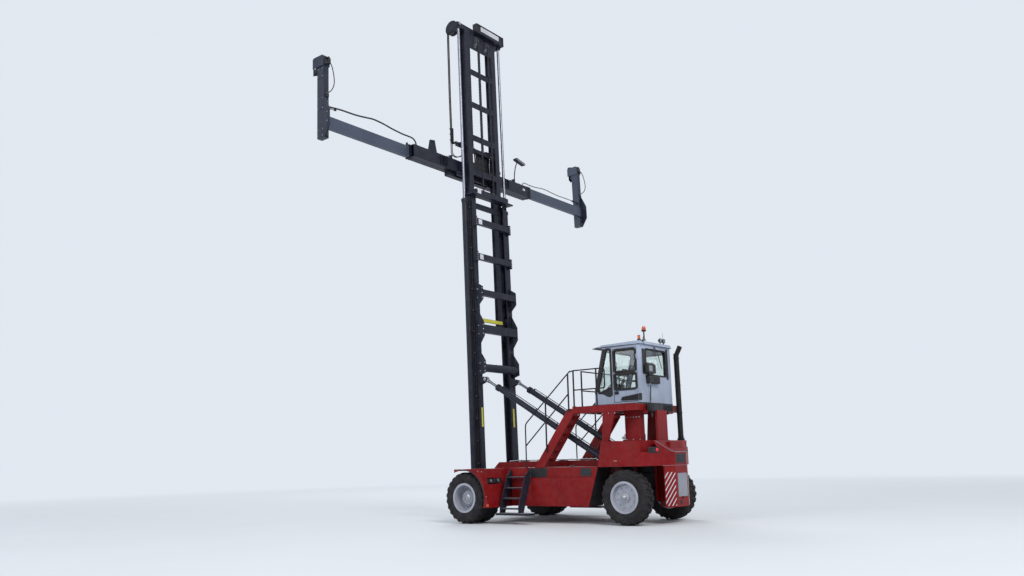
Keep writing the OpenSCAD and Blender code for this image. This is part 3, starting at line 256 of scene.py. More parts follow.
def glass(name, colour):
    """Clear glass with a thin film of dust."""
    n = Nodes(name)
    dust = n.noise(5.0, 6)
    film = n.span(dust, 0.45, 0.8, 0.0, 0.25)
    n.shader.inputs["Transmission Weight"].default_value = 1.0
    n.shader.inputs["IOR"].default_value = 1.45
    base = n.mix(film, colour, tuple(c * 0.82 for c in colour))
    return n.finish(base, n.span(dust, 0.45, 0.8, 0.01, 0.10))


def cloth(name, colour):
    """A woven seat cloth."""
    n = Nodes(name)
    thread = n.math("MULTIPLY", n.wave("X", 220.0), n.wave("Z", 220.0))
    base = n.mix(thread, tuple(c * 0.6 for c in colour), tuple(c * 1.3 for c in colour))
    n.bump(thread, 0.4, 0.001)
    n.shader.inputs["Sheen Weight"].default_value = 0.4
    return n.finish(base, 0.85, spec=0.2)


def tread_plate(name, colour):
    """Painted plate with raised grip bars in two directions."""
    n = Nodes(name)
    brick = n.add("ShaderNodeTexBrick")
    brick.inputs["Scale"].default_value = 22.0
    brick.inputs["Mortar Size"].default_value = 0.03
    n.link(n.coord, brick.inputs["Vector"])
    worn = n.math("MULTIPLY", n.span(n.noise(5.0, 5), 0.35, 0.7), 0.7)
    base = n.mix(worn, colour, (0.33, 0.34, 0.36))
    n.bump(brick.outputs["Fac"], 0.5, 0.004)
    return n.finish(base, n.span(n.noise(40.0), 0.3, 0.7, 0.42, 0.6), metallic=0.2)


FINISH = {
    "red_paint": paint("red_paint_coat", (0.205, 0.0015, 0.004), 0.42, wear=0.25, dust=0.05, worn=(0.16, 0.12, 0.11),
                       coat=0.0, spec=0.16),
    "charcoal_paint": paint("charcoal_paint_coat", (0.009, 0.012, 0.026), 0.42, wear=0.30, dust=0.06,
                            worn=(0.10, 0.11, 0.13), coat=0.0, spec=0.2),
    "slate_paint": paint("slate_paint_coat", (0.050, 0.066, 0.106), 0.40, wear=0.35, dust=0.10,
                         worn=(0.20, 0.21, 0.24), coat=0.05, spec=0.25, far=(5.862, (0.014, 0.019, 0.042))),
    "black_paint": paint("black_paint_coat", (0.006, 0.006, 0.009), 0.42, wear=0.4, dust=0.05, worn=(0.12, 0.12, 0.12),
                         coat=0.0, spec=0.2),
    # Cab paint: pale blue-grey, partly its own colour and partly painted shade and blue sky reflection, which darken it
    # and turn it bluer
    "white_paint": paint("white_paint_painted_shade_coat", (0.36, 0.42, 0.55), 0.40, wear=0.4, dust=0.12, worn=(0.22, 0.22, 0.22),
                         coat=0.05),
    "window_glass": glass("window_glass_pane", (0.80, 0.87, 0.85)),
    "black_plastic": plastic("black_plastic_mould", (0.018, 0.018, 0.022), 0.55),
    "lamp_plastic": lens("lamp_plastic_lens", (0.55, 0.10, 0.02), 0.0),
    "tyre_rubber": rubber("tyre_rubber_tread", (0.009, 0.009, 0.012), 0.10),
    "rim_paint": paint("rim_paint_coat", (0.38, 0.40, 0.48), 0.48, wear=0.6, dust=0.25, worn=(0.14, 0.10, 0.08),
                       low=1.4),
    "steel": metal("steel_bare", (0.42, 0.43, 0.45), 0.38),
    "chrome": metal("chrome_rod", (0.22, 0.23, 0.28), 0.36, 20.0, 0.12),
}
EXTRA = {
    "white_plate": paint("white_plate_coat", (0.60, 0.61, 0.67), 0.45, wear=0.3, dust=0.06),
    "yellow_strip": paint("yellow_strip_coat", (0.60, 0.56, 0.05), 0.45, wear=0.6, dust=0.2),
    "grey_plate": paint("grey_plate_coat", (0.26, 0.28, 0.34), 0.5, wear=0.3, dust=0.2),
    "red_lens": lens("red_lens", (0.70, 0.01, 0.02), 0.15),
    "orange_lens": lens("orange_lens", (0.62, 0.12, 0.02), 0.0),
    "clear_lens": lens("clear_lens", (0.22, 0.24, 0.28), 0.0),
    "hose_rubber": rubber("hose_rubber", (0.014, 0.014, 0.017), 0.15, 0.6),
    "seal_rubber": rubber("seal_rubber", (0.012, 0.012, 0.014), 0.12, 0.7),
    "seat_cloth": cloth("seat_cloth", (0.035, 0.040, 0.050)),
    "grip_plate": tread_plate("grip_plate", (0.20, 0.21, 0.23)),
    "chain_steel": metal("chain_steel", (0.085, 0.088, 0.10), 0.5, 60.0, 0.5),
    "dark_mesh": plastic("dark_mesh", (0.008, 0.008, 0.010), 0.7, 120.0),
    "red_stripe": paint("red_stripe_coat", (0.22, 0.002, 0.005), 0.42, wear=0.2, dust=0.05, coat=0.0, spec=0.16),
}
SLOT_OF = {part["node"]: part["material_slot"] for part in frame["record"]["subparts"]}
for node, obj in frame["nodes"].items():
    obj.data.materials.clear()
    obj.data.materials.append(FINISH[SLOT_OF[node]])


# ---------------------------------------------------------------- pieces
def span_points(points, steps=6):
    """A smooth line through the points."""
    pts = [Vector(p) for p in points]
    ends = [2 * pts[0] - pts[1]] + pts + [2 * pts[-1] - pts[-2]]
    line = []
    for i in range(1, len(ends) - 2):
        p0, p1, p2, p3 = ends[i - 1:i + 3]
        for k in range(steps):
            t = k / steps
            line.append(0.5 * ((2 * p1) + (p2 - p0) * t + (2 * p0 - 5 * p1 + 4 * p2 - p3) * t * t
                               + (3 * p1 - p0 - 3 * p2 + p3) * t ** 3))
    return line + [pts[-1]]


class Piece:
    """One object of one material, drawn in millimetres and riding on one body."""

    def __init__(self, name, body, finish, place=spot):
        self.name, self.body, self.finish, self.place = name, body, finish, place
        self.bm = bmesh.new()

    def face(self, verts):
        """A face, unless the same one is there."""
        try:
            self.bm.faces.new(verts)
        except ValueError:
            pass

    def box(self, lo, hi, turn=None):
        """A box between two corners, turned about its middle."""
        a, b = [min(p, q) for p, q in zip(lo, hi)], [max(p, q) for p, q in zip(lo, hi)]
        pts = [Vector((x, y, z)) for x in (a[0], b[0]) for y in (a[1], b[1]) for z in (a[2], b[2])]
        if turn is not None:
            mid = sum(pts, Vector()) / 8
            pts = [turn @ (p - mid) + mid for p in pts]
        v = [self.bm.verts.new(p) for p in pts]
        for f in ((0, 1, 3, 2), (4, 6, 7, 5), (0, 4, 5, 1), (2, 3, 7, 6), (0, 2, 6, 4), (1, 5, 7, 3)):
            self.face([v[i] for i in f])
        return self

    def both(self, make, *args, **kw):
        """Draws twice, mirrored in y."""
        start = len(self.bm.verts)
        make(*args, **kw)
        self.bm.verts.ensure_lookup_table()
        first = list(self.bm.verts)[start:]
        known = set(first)
        faces = [f for f in self.bm.faces if f.verts[0] in known]
        copy = {v: self.bm.verts.new((v.co.x, -v.co.y, v.co.z)) for v in first}
        for f in faces:
            self.face([copy[v] for v in reversed(f.verts)])
        return self

    def loop(self, outline, axis, h):
        """The vertices of a flat outline at h along an axis."""
        i = "xyz".index(axis)
        return [self.bm.verts.new((*p[:i], h, *p[i:])) for p in outline]

    def skirt(self, low, high):
        """The faces between two rows of vertices."""
        n = len(low)
        for k in range(n):
            j = (k + 1) % n
            self.face([low[k], low[j], high[j], high[k]])

    def prism(self, outline, axis, a, b):
        """A flat outline drawn in the other two axes and drawn out along this one."""
        low, high = self.loop(outline, axis, a), self.loop(outline, axis, b)
        self.face(low[::-1])
        self.face(high)
        self.skirt(low, high)
        return self

    def slab(self, corners, r, axis, a, b, steps=4):
        """A rectangle with round corners, drawn out along an axis."""
        return self.prism(rounded(rect(*corners), r, steps), axis, a, b)

    def rings(self, circles, close=False):
        """Skins a row of vertex rings."""
        rows = [[self.bm.verts.new(p) for p in c] for c in circles]
        for low, high in list(zip(rows, rows[1:])) + ([(rows[-1], rows[0])] if close else []):
            self.skirt(low, high)
        if not close:
            self.face(rows[0][::-1])
            self.face(rows[-1])
        return self

    def turned(self, at, axis, outline, sides=32, close=False):
        """Turns an outline of (radius, height) round an axis through a point."""
        axis = Vector(axis).normalized()
        turn = axis.to_track_quat("Z", "Y").to_matrix()
        at = Vector(at)
        circles = []
        for r, h in outline:
            circles.append([at + turn @ Vector((r * math.cos(a), r * math.sin(a), h))
                            for a in (2 * math.pi * k / sides for k in range(sides))])
        return self.rings(circles, close=close)

    def rod(self, a, b, r, sides=16):
        """A round rod between two points."""
        a, b = Vector(a), Vector(b)
        return self.turned(a, b - a, [(r, 0), (r, (b - a).length)], sides)

    def tube(self, points, r, sides=10, smooth=True):
        """A round tube along the points, or along a smooth line through them."""
        line = span_points(points) if smooth else [Vector(p) for p in points]
        circles = []
        normal = None
        for i, p in enumerate(line):
            d = (line[min(i + 1, len(line) - 1)] - line[max(i - 1, 0)]).normalized()
            if normal is None:
                normal = d.orthogonal().normalized()
            normal = (normal - d * normal.dot(d)).normalized()
            side = d.cross(normal)
            circles.append([p + r * (math.cos(a) * normal + math.sin(a) * side)
                            for a in (2 * math.pi * k / sides for k in range(sides))])
        return self.rings(circles)

    def bolt(self, at, axis, r=14, h=10):
        """A hexagon head on a washer."""
        self.turned(at, axis, [(r * 1.35, 0), (r * 1.35, 3)], 14)
        return self.turned(at, axis, [(r, 3), (r, h), (r * 0.85, h + 1.5)], 6)

    def bolts(self, points, axis, r=14, h=10):
        for p in points:
            self.bolt(p, axis, r, h)
        return self

    def band(self, outer, inner, axis, a, b):
        """A frame between two outlines with the same number of corners, as deep as a to b."""
        oa, ia, ob, ib = (self.loop(outline, axis, h) for h in (a, b) for outline in (outer, inner))
        n = len(outer)
        for k in range(n):
            j = (k + 1) % n
            for q in ((oa[k], oa[j], ob[j], ob[k]), (ia[k], ib[k], ib[j], ia[j]),
                      (oa[k], ia[k], ia[j], oa[j]), (ob[k], ob[j], ib[j], ib[k])):
                self.face(q)
        return self

    def bolt_ring(self, at, axis, radius, count, r=14, h=10, start=0.0):
        """Bolts on a circle."""
        return self.bolts(circle_points(at, axis, radius, count, start), axis, r, h)

    def weld(self, a, b, r=9):
        """A bead of weld along a corner."""
        a, b = Vector(a), Vector(b)
        count = max(2, int((b - a).length / 60))
        outline = [(r * (1.0 if k % 2 else 0.8), (b - a).length * k / count) for k in range(count + 1)]
        return self.turned(a, b - a, outline, 6)

    def done(self, bevel=0.0, smooth=35.0, replaces=(), cross=None):
        """Finishes the piece. cross is (body, body, start, end) for one that spans a joint."""
        bm = self.bm
        for v in bm.verts:
            v.co = self.place(v.co)
        bmesh.ops.recalc_face_normals(bm, faces=bm.faces)
        limit = math.radians(smooth)
        for f in bm.faces:
            f.smooth = True
        for e in bm.edges:
            e.smooth = len(e.link_faces) == 2 and e.calc_face_angle(0) < limit
        mesh = bpy.data.meshes.new(self.name)
        bm.to_mesh(mesh)
        bm.free()
        obj = bpy.data.objects.new(self.name, mesh)
        bpy.context.scene.collection.objects.link(obj)
        mesh.materials.append(EXTRA.get(self.finish) or FINISH[self.finish])
        if bevel:
            mod = obj.modifiers.new("edge", "BEVEL")
            mod.width = bevel * MM
            mod.segments = 2
            mod.limit_method = "ANGLE"
            mod.angle_limit = math.radians(40)
        if cross:
            self.place(Vector(cross[2]))
            self.place(Vector(cross[3]))
            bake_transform(obj)
        else:
            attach(obj, self.body)
        if replaces:
            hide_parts(*replaces)
        return obj


def hose(name, body, points, r, place=spot, cross=None):
    """A hose between two fittings, along a smooth line through the points."""
    line = span_points(points, 6)
    tube = Piece(name, body, "hose_rubber", place).tube(line, r, 10, smooth=False)
    obj = tube.done(smooth=60, cross=cross)
    path = [list(place(p)) for p in line]
    for tag, a, b in (("_in", line[0], line[1]), ("_out", line[-1], line[-2])):
        d = (b - a).normalized()
        end = Piece(name + tag, body, "steel", place)
        end.turned(a - d * r * 0.4, d,
                   [(r * 0.9, 0), (r * 1.35, r * 0.3), (r * 1.35, r * 3.2), (r * 1.05, r * 3.5)], 12)
        end.turned(a - d * r * 0.6, d, [(r * 1.6, 0), (r * 1.6, r * 0.9)], 6)
        end.done(cross=cross, smooth=40)
    return obj


def hung(a, b, rise, sag=150, crest=130):
    """A hose's route in one upright plane: down from a, round a sag, up by the angle rise, over a crest, down on b."""
    a, b = Vector(a), Vector(b)
    flat = (b - a) * Vector((1, 1, 0))
    reach, flat = flat.length, flat.normalized()
    top = b.z + 52
    u0, u1 = sag * (1 + math.sin(rise)), reach - crest * (1 + math.sin(rise))
    low = top + crest * math.cos(rise) - (u1 - u0) * math.tan(rise) + sag * math.cos(rise)
    steps = [k / 5 for k in range(6)]
    turn = [(1 - t) * -math.pi / 2 + t * rise for t in steps]
    route = [(sag + sag * math.sin(w), low - sag * math.cos(w)) for w in turn]
    route += [(reach - crest - crest * math.sin(w), top + crest * math.cos(w)) for w in reversed(turn)]
    return [tuple(a), (a.x, a.y, (a.z + low) / 2)] + [tuple((a + flat * u)[:2]) + (z,) for u, z in route] + [tuple(b)]


def rounded(points, r, steps=4):
    """The outline with round corners."""
    out = []
    n = len(points)
    for i in range(n):
        p, a, b = (Vector(points[k % n]) for k in (i, i - 1, i + 1))
        k = min(r, (a - p).length * 0.45, (b - p).length * 0.45)
        s, e = p + (a - p).normalized() * k, p + (b - p).normalized() * k
        out += [(1 - t) ** 2 * s + 2 * t * (1 - t) * p + t * t * e for t in (j / steps for j in range(steps + 1))]
    return [tuple(p) for p in out]


def inset(points, d):
    """The outline moved inwards."""
    pts = [Vector(p) for p in points]
    n = len(pts)
    sign = 1 if sum(pts[i - 1].x * pts[i].y - pts[i].x * pts[i - 1].y for i in range(n)) > 0 else -1
    out = []
    for i in range(n):
        e1 = (pts[i] - pts[i - 1]).normalized()
        e2 = (pts[(i + 1) % n] - pts[i]).normalized()
        n1, n2 = Vector((-e1.y, e1.x)) * sign, Vector((-e2.y, e2.x)) * sign
        out.append(tuple(pts[i] + (n1 + n2) * (d / max(0.4, 1 + n1.dot(n2)))))
    return out


def rect(a0, b0, a1, b1):
    """The outline between two corners."""
    return [(a0, b0), (a1, b0), (a1, b1), (a0, b1)]


def circle_points(at, axis, r, count, start=0.0):
    """Points on a circle round an axis."""
    axis = Vector(axis).normalized()
    turn = axis.to_track_quat("Z", "Y").to_matrix()
    return [Vector(at) + turn @ Vector((r * math.cos(a), r * math.sin(a), 0))
            for a in (start + 2 * math.pi * k / count for k in range(count))]


# ---------------------------------------------------------------- camera, stage and light
PICTURE = (1024, 576)
FOCAL_PX = 873.769
RIGHT = Vector((-0.790012, -0.612603, -0.024464))
ABOVE = Vector((-0.13684, 0.137293, 0.981033))
AHEAD = Vector((0.597625, -0.778375, 0.192291))
EYE = (-15480.3, 19922.9, 1629.2)
camera = bpy.data.objects.new("camera", bpy.data.cameras.new("camera"))
bpy.context.scene.collection.objects.link(camera)
basis = Matrix((RIGHT, ABOVE, -AHEAD)).transposed()
camera.matrix_world = Matrix.Translation(spot(EYE)) @ basis.to_4x4()
camera.data.sensor_width = 36.0
camera.data.lens = 36.0 * FOCAL_PX / PICTURE[0]
camera.data.clip_end = 400.0
bpy.context.scene.camera = camera
bpy.context.scene.view_settings.view_transform = "Standard"
BACKGROUND = (0.76, 0.81, 0.88)


def stage_finish():
    """A pale floor that fades into the background."""
    n = Nodes("floor_finish")
    base = n.mix(n.span(n.noise(0.35, 5), 0.3, 0.7), (0.68, 0.715, 0.765), (0.70, 0.735, 0.785))
    mat = n.finish(base, 0.8, spec=0.1)
    # Far from the object the floor is seen in the background's colour, which adds no light
    flat = n.add("ShaderNodeVectorMath", operation="MULTIPLY")
    flat.inputs[1].default_value = (1, 1, 0)
    n.link(n.coord, flat.inputs[0])
    far = n.add("ShaderNodeVectorMath", operation="LENGTH")
    n.link(flat.outputs[0], far.inputs[0])
    path = n.add("ShaderNodeLightPath")
    seen = n.math("MAXIMUM", n.math("MAXIMUM", path.outputs["Is Camera Ray"], path.outputs["Is Glossy Ray"]),
                  path.outputs["Is Transmission Ray"])
    share = n.math("MULTIPLY", seen, n.span(far.outputs[1], 9.0, 42.0))
    pale = n.add("ShaderNodeEmission")
    pale.inputs[0].default_value = (*BACKGROUND, 1)
    blend = n.add("ShaderNodeMixShader")
    n.link(share, blend.inputs[0])
    n.link(n.shader.outputs[0], blend.inputs[1])
    n.link(pale.outputs[0], blend.inputs[2])
    n.link(blend.outputs[0], n.out.inputs[0])
    return mat


floor_mesh = bpy.data.meshes.new("floor")
bm = bmesh.new()
bmesh.ops.create_circle(bm, cap_ends=True, segments=96, radius=150.0)
bm.to_mesh(floor_mesh)
bm.free()
floor = bpy.data.objects.new("floor", floor_mesh)
bpy.context.scene.collection.objects.link(floor)
floor_mesh.materials.append(stage_finish())

world = bpy.data.worlds.new("studio")
bpy.context.scene.world = world
world.use_nodes = True
tree = world.node_tree
tree.nodes.clear()
w_out, w_mix, w_light, w_seen, w_path, w_any, w_all = (
    tree.nodes.new("ShaderNode" + kind)
    for kind in ("OutputWorld", "MixShader", "Background", "Background", "LightPath", "Math", "Math"))
for node, colour, strength in ((w_light, (0.92, 0.96, 1.0), 0.55), (w_seen, BACKGROUND, 1.0)):
    node.inputs[0].default_value = (*colour, 1)
    node.inputs[1].default_value = strength
w_any.operation = w_all.operation = "MAXIMUM"
for source, node, socket in ((w_path.outputs["Is Camera Ray"], w_any, 0), (w_path.outputs["Is Glossy Ray"], w_any, 1),
                             (w_any.outputs[0], w_all, 0), (w_path.outputs["Is Transmission Ray"], w_all, 1),
                             (w_all.outputs[0], w_mix, 0), (w_light.outputs[0], w_mix, 1),
                             (w_seen.outputs[0], w_mix, 2), (w_mix.outputs[0], w_out, 0)):
    tree.links.new(source, node.inputs[socket])


def lamp(name, at, aim, size, power, colour=(1, 1, 1)):
    """A square area light aimed at a point."""
    data = bpy.data.lights.new(name, "AREA")
    data.size = size
    data.energy = power
    data.color = colour
    obj = bpy.data.objects.new(name, data)
    bpy.context.scene.collection.objects.link(obj)
    obj.location = at
    obj.rotation_euler = (Vector(aim) - Vector(at)).to_track_quat("-Z", "Y").to_euler()


lamp("key", (-26, 14, 26), (0, 0, 6), 14, 7200, (1.0, 0.97, 0.92))
lamp("fill", (10, 30, 16), (0, 0, 6), 18, 2600, (0.93, 0.96, 1.0))
lamp("back", (22, -22, 22), (0, 0, 8), 16, 4200)

# ---------------------------------------------------------------- tyres
TYRE_R, TYRE_W, RIM_R, TWIN = 660, 360, 360, 430


def crown(y):
    """The tyre's outer radius at a distance from its middle."""
    y = abs(y)
    if y <= 125:
        return TYRE_R - 1
    if y <= 154:
        return TYRE_R - 1 - (y - 125) / 29 * 22
    return 637 - (y - 154) / 26 * 62


def draw_tyre(piece, x, y0, spin=0.0):
    """A carcass with sidewall ribs and two rows of staggered lugs."""
    h = TYRE_W / 2
    half = [(crown(0) - 24, 0), (crown(90) - 24, 90), (628, 132), (606, 160), (575, 174), (548, 178.5), (545, 176),
            (520, 178), (515, 179.5), (470, 178), (465, 175), (430, 169), (395, 158), (372, 148), (RIM_R, 145)]
    outline = half[::-1] + [(r, -y) for r, y in half[1:]]
    piece.turned((x, y0, TYRE_R), (0, 1, 0), outline + [(RIM_R + 2, -100), (RIM_R + 2, 100)], 96, close=True)
    count = 24
    for side in (1, -1):
        for k in range(count):
            base = spin + 2 * math.pi * (k + (0.5 if side < 0 else 0)) / count
            rows = []
            for y, lean, wide in ((6, 0, 30), (50, 0.030, 31), (100, 0.065, 33), (135, 0.085, 36), (158, 0.095, 40),
                                  (172, 0.098, 40), (179, 0.10, 36)):
                r1 = crown(y)
                r0 = r1 - 30 if y < 170 else r1 - 26
                a = base + lean
                w = wide / TYRE_R
                ring = []
                for ang, r in ((a - w * 1.12, r0), (a - w, r1), (a + w, r1), (a + w * 1.12, r0)):
                    ring.append((x + r * math.sin(ang), y0 + side * min(y, h - 1), TYRE_R + r * math.cos(ang)))
                rows.append(ring)
            piece.rings(rows)


drive_y = abs(JOINTS["drive_left_spin"]["pos_m"][1]) / MM
steer_y = abs(JOINTS["steer_left_spin"]["pos_m"][1]) / MM
for side, g in (("left", 1), ("right", -1)):
    twin = Piece("tread_drive_" + side, "drive_wheels_" + side, "tyre_rubber")
    for k in (-1, 1):
        draw_tyre(twin, 0, g * (drive_y + k * TWIN / 2), 0.07 * k)
    twin.done(replaces=["drive_tyres_" + side])
    single = Piece("tread_steer_" + side, "steer_wheel_" + side, "tyre_rubber")
    draw_tyre(single, -WHEELBASE, g * steer_y, 0.03)
    single.done(replaces=["steer_tyre_" + side])

    # Nuts, studs, hub caps and valves
    nuts = Piece("hub_nuts_" + side, "drive_wheels_" + side, "steel")
    face = g * 1905
    nuts.bolt_ring((0, face, TYRE_R), (0, g, 0), 135, 12, 13, 16)
    nuts.turned((0, face, TYRE_R), (0, g, 0), [(95, 0), (95, 14), (80, 22), (40, 26), (38, 40), (0.5, 42)], 32)
    nuts.bolt_ring((0, g * (drive_y + TWIN / 2 - 88), TYRE_R), (0, g, 0), 252, 20, 15, 30)
    nuts.tube([(0, g * (drive_y + TWIN / 2 - 80), TYRE_R + 300), (0, g * (drive_y + TWIN / 2), TYRE_R + 315),
               (0, g * (drive_y + TWIN / 2 + 60), TYRE_R + 312)], 8)
    nuts.done(bevel=1.5)
    nuts = Piece("wheel_nuts_" + side, "steer_wheel_" + side, "steel")
    x = -WHEELBASE
    nuts.bolt_ring((x, g * (steer_y + 82), TYRE_R), (0, g, 0), 235, 10, 14, 24, 0.2)
    nuts.turned((x, g * (steer_y + 155), TYRE_R), (0, g, 0), [(64, 0), (62, 16), (45, 26), (0.5, 30)], 32)
    nuts.bolt_ring((x, g * (steer_y + 130), TYRE_R), (0, g, 0), 84, 8, 8, 8)
    nuts.tube([(x, g * (steer_y + 80), TYRE_R + 290), (x, g * (steer_y + 130), TYRE_R + 315),
               (x, g * (steer_y + 175), TYRE_R + 308)], 8)
    nuts.done(bevel=1.5)

# ---------------------------------------------------------------- cab
QUARTER = [(-3883, 3360), (-3883, 4310), (-3765, 4310), (-3495, 3320), (-3535, 3240)]
SIDE_WINDOW = rect(-4593, 3300, -4013, 4260)
UPPER, LOWER = rect(-4643, 3704, -3963, 4306), rect(-4643, 3254, -3963, 3704)

frames = Piece("door_window_frames", "cab_door", "seal_rubber")
for outline in (UPPER, LOWER):
    outer = rounded(outline, 85, 5)
    frames.band(inset(outer, 46), inset(outer, 54), "y", 772.5, 790)
    frames.band(outer, inset(outer, 54), "y", 789, 801)
    frames.band(inset(outer, 8), inset(outer, 40), "y", 800, 806)
    frames.band(inset(outer, 44), inset(outer, 62), "y", 742, 763)
frames.done(bevel=4)

# Edge seal, handle and lock outside, lock box and a pull inside the leaf
trim = Piece("door_edge_seal", "cab_door", "seal_rubber")
leaf = rounded(rect(-4651, 2972, -3955, 4318), 40, 4)
trim.band(leaf, inset(leaf, 9), "y", 789, 794)
trim.done(bevel=2)
pull = Piece("door_handle", "cab_door", "black_plastic")
pull.slab((-4095, 3165, -3985, 3245), 18, "y", 789, 800)
pull.tube([(-4085, 798, 3205), (-4080, 835, 3207), (-4040, 842, 3208), (-4000, 835, 3207), (-3996, 798, 3205)], 9, 10)
pull.turned((-4040, 800, 3180), (0, 1, 0), [(14, 0), (14, 7), (9, 10), (4, 10)], 16)
pull.slab((-4120, 3130, -3990, 3260), 18, "y", 728, 745)
pull.tube([(-4570, 745, 3705), (-4560, 705, 3700), (-4300, 695, 3695), (-4050, 705, 3700), (-4040, 745, 3705)], 12, 10)
pull.done(bevel=2)

# Slanted blank vent panel with slats, low on the leaf, and its rear end on the wall
VENT = [(-4150, 3020), (-4192, 3096), (-4640, 3150), (-4640, 2996), (-4185, 3002)]
vent = Piece("vent_panel", "cab_door", "black_plastic")
outer = rounded(VENT, 14, 3)
vent.band(outer, inset(outer, 12), "y", 789, 801)
vent.prism(inset(outer, 11), "y", 789, 793)
for k in range(7):
    z = 3016 + 17 * k
    x0 = -4188 if z < 3090 else -4200 - (z - 3090) * 8
    vent.box((-4630, 790, z), (x0 - 6, 800, z + 8), Matrix.Rotation(0.5, 3, "X"))
vent.done(bevel=1.5)
end = Piece("vent_end", "chassis", "black_plastic")
end.slab((-4756, 2992, -4668, 3158), 12, "y", 789, 801, 3)
end.bolts([(-4740, 801, 3008), (-4740, 801, 3142), (-4684, 801, 3008), (-4684, 801, 3142)], (0, 1, 0), 7, 4)
end.done(bevel=2)

# Rubber round the fixed panes
seals = Piece("window_seals", "chassis", "seal_rubber")
for g in (1, -1):
    outer = rounded(inset(QUARTER, -44), 60, 4)
    seals.band(outer, inset(outer, 54), "y", g * 789, g * 801)
    seals.band(inset(outer, 40), inset(outer, 54), "y", g * 772.5, g * 790)
    seals.band(inset(outer, 38), inset(outer, 60), "y", g * 742, g * 762.5)
outer = rounded(inset(SIDE_WINDOW, -10), 80, 5)
seals.band(outer, inset(outer, 42), "y", -772.5, -800)
seals.band(outer, inset(outer, 42), "y", -742, -762.5)
outer = rounded(rect(-532, 3608, 532, 4302), 75, 5)
seals.band(outer, inset(outer, 40), "x", -4769, -4742.5)
seals.band(outer, inset(outer, 40), "x", -4733, -4712)
seals.done(bevel=4)


SCREEN_X, SCREEN_FOOT, SCREEN_RISE, SCREEN_BACK = -3390, 3300, 1080, 270


def on_screen(v, out):
    """A point on the windscreen: height up, and distance out from the outer face."""
    t = max(0.0, v - SCREEN_FOOT) / SCREEN_RISE
    return SCREEN_X - SCREEN_BACK * t + out * 0.97, v + (out * 0.24 if v > SCREEN_FOOT else 0)


seals = Piece("screen_seal", "chassis", "seal_rubber")
loop = rounded(rect(-728, 3192, 728, 4318), 90, 5)
seals.band(loop, inset(loop, 42), "x", 8, -18)
for v in seals.bm.verts:
    x, z = on_screen(v.co.z, v.co.x)
    v.co.x, v.co.z = x, z
seals.done(bevel=3)

# Wipers on the screen and on the rear pane
wipers = Piece("wipers", "chassis", "black_plastic")
for y0, y1 in ((-330, -40), (330, 620)):
    a = on_screen(3215, 22)
    b = on_screen(3760, 34)
    wipers.turned((a[0] - 14, y0, a[1]), (1, 0, 0.0), [(26, 0), (26, 22), (16, 34), (6, 36)], 18)
    wipers.tube([(a[0] + 14, y0, a[1]), (b[0] + 8, y0 + (y1 - y0) * 0.4, b[1] - 180), (b[0], y1 - 90, b[1] - 20)], 8, 8)
    lo, hi = on_screen(3440, 14), on_screen(4080, 14)
    wipers.tube([(lo[0], y1 - 130, lo[1]), ((lo[0] + hi[0]) / 2, y1 - 75, (lo[1] + hi[1]) / 2),
                 (hi[0], y1 - 20, hi[1])], 9, 6)
wipers.turned((-4782, 60, 4335), (1, 0, 0), [(6, 0), (16, 4), (24, 10), (24, 24)], 16)
wipers.tube([(-4790, 60, 4335), (-4800, -60, 4180), (-4786, -150, 4060)], 8, 8)
wipers.tube([(-4778, -60, 4270), (-4776, -170, 4040), (-4778, -280, 3820)], 9, 6)
wipers.done()

# Lamp, control box and cable on the rear wall, and the dark corner posts
rear = Piece("rear_wall_gear", "chassis", "black_plastic")
rear.slab((534, 3640, 706, 4280), 30, "x", -4768, -4759, 3)
rear.slab((-640, 3560, -534, 4340), 30, "x", -4772, -4759, 3)
rear.slab((5, 3408, 556, 3606), 22, "x", -4862, -4760, 3)
rear.slab((20, 3424, 541, 3590), 16, "x", -4872, -4861, 3)
for z in (3450, 3480, 3510, 3540):
    rear.box((-4880, 60, z), (-4870, 330, z + 14))
rear.slab((250, 3655, 640, 3890), 45, "x", -4890, -4790, 4)
rear.box((-4792, 320, 3700), (-4759, 560, 3840))
rear.turned((-4820, 600, 3600), (0, 0, 1), [(16, 0), (16, 70)], 12)
rear.done(bevel=5)
glow = Piece("rear_wall_lamp", "chassis", "clear_lens")
glow.slab((430, 3700, 600, 3850), 34, "x", -4897, -4889, 4)
glow.done(bevel=3)
hose("rear_wall_cable", "chassis", [(-4830, 480, 3410), (-4836, 480, 3340), (-4828, 470, 3230), (-4802, 440, 3120),
                                    (-4786, 410, 3030), (-4780, 400, 2945)], 13)
clips = Piece("cab_bolts", "chassis", "steel")
clips.bolts([(-4761, y, z) for y in (-740, 740) for z in (3080, 3350, 3700, 4050, 4330)], (-1, 0, 0), 9, 6)
clips.bolts([(-4872, y, z) for y in (40, 520) for z in (3440, 3576)], (-1, 0, 0), 7, 5)
for g in (1, -1):
    clips.bolts([(x, g * 811, 4425) for x in (-4700, -4450, -4200, -3950, -3700)], (0, g, 0), 8, 5)
clips.done(bevel=1)

# Roof: gutter, hatch, front visor
roof = Piece("roof_trim", "chassis", "black_plastic")
for g in (1, -1):
    roof.tube([(-4790, g * 808, 4388), (-4300, g * 812, 4388), (-3640, g * 812, 4388)], 9, 6, smooth=False)
roof.tube([(-4796, -800, 4388), (-4798, 0, 4388), (-4796, 800, 4388)], 9, 6, smooth=False)
roof.prism([(-3560, 4404), (-3520, 4418), (-3340, 4386), (-3335, 4378), (-3520, 4400), (-3560, 4390)], "y", -770, 770)
roof.done(bevel=3)
hatch = Piece("roof_hatch", "chassis", "white_paint")
hatch.slab((-4420, -300, -3900, 300), 60, "z", 4462, 4482, 5)
hatch.slab((-4390, -270, -3930, 270), 50, "z", 4481, 4492, 5)
for y in (-560, 560):
    hatch.slab((-4500, y - 30, -3760, y + 30), 25, "z", 4446, 4470, 4)
hatch.done(bevel=4)

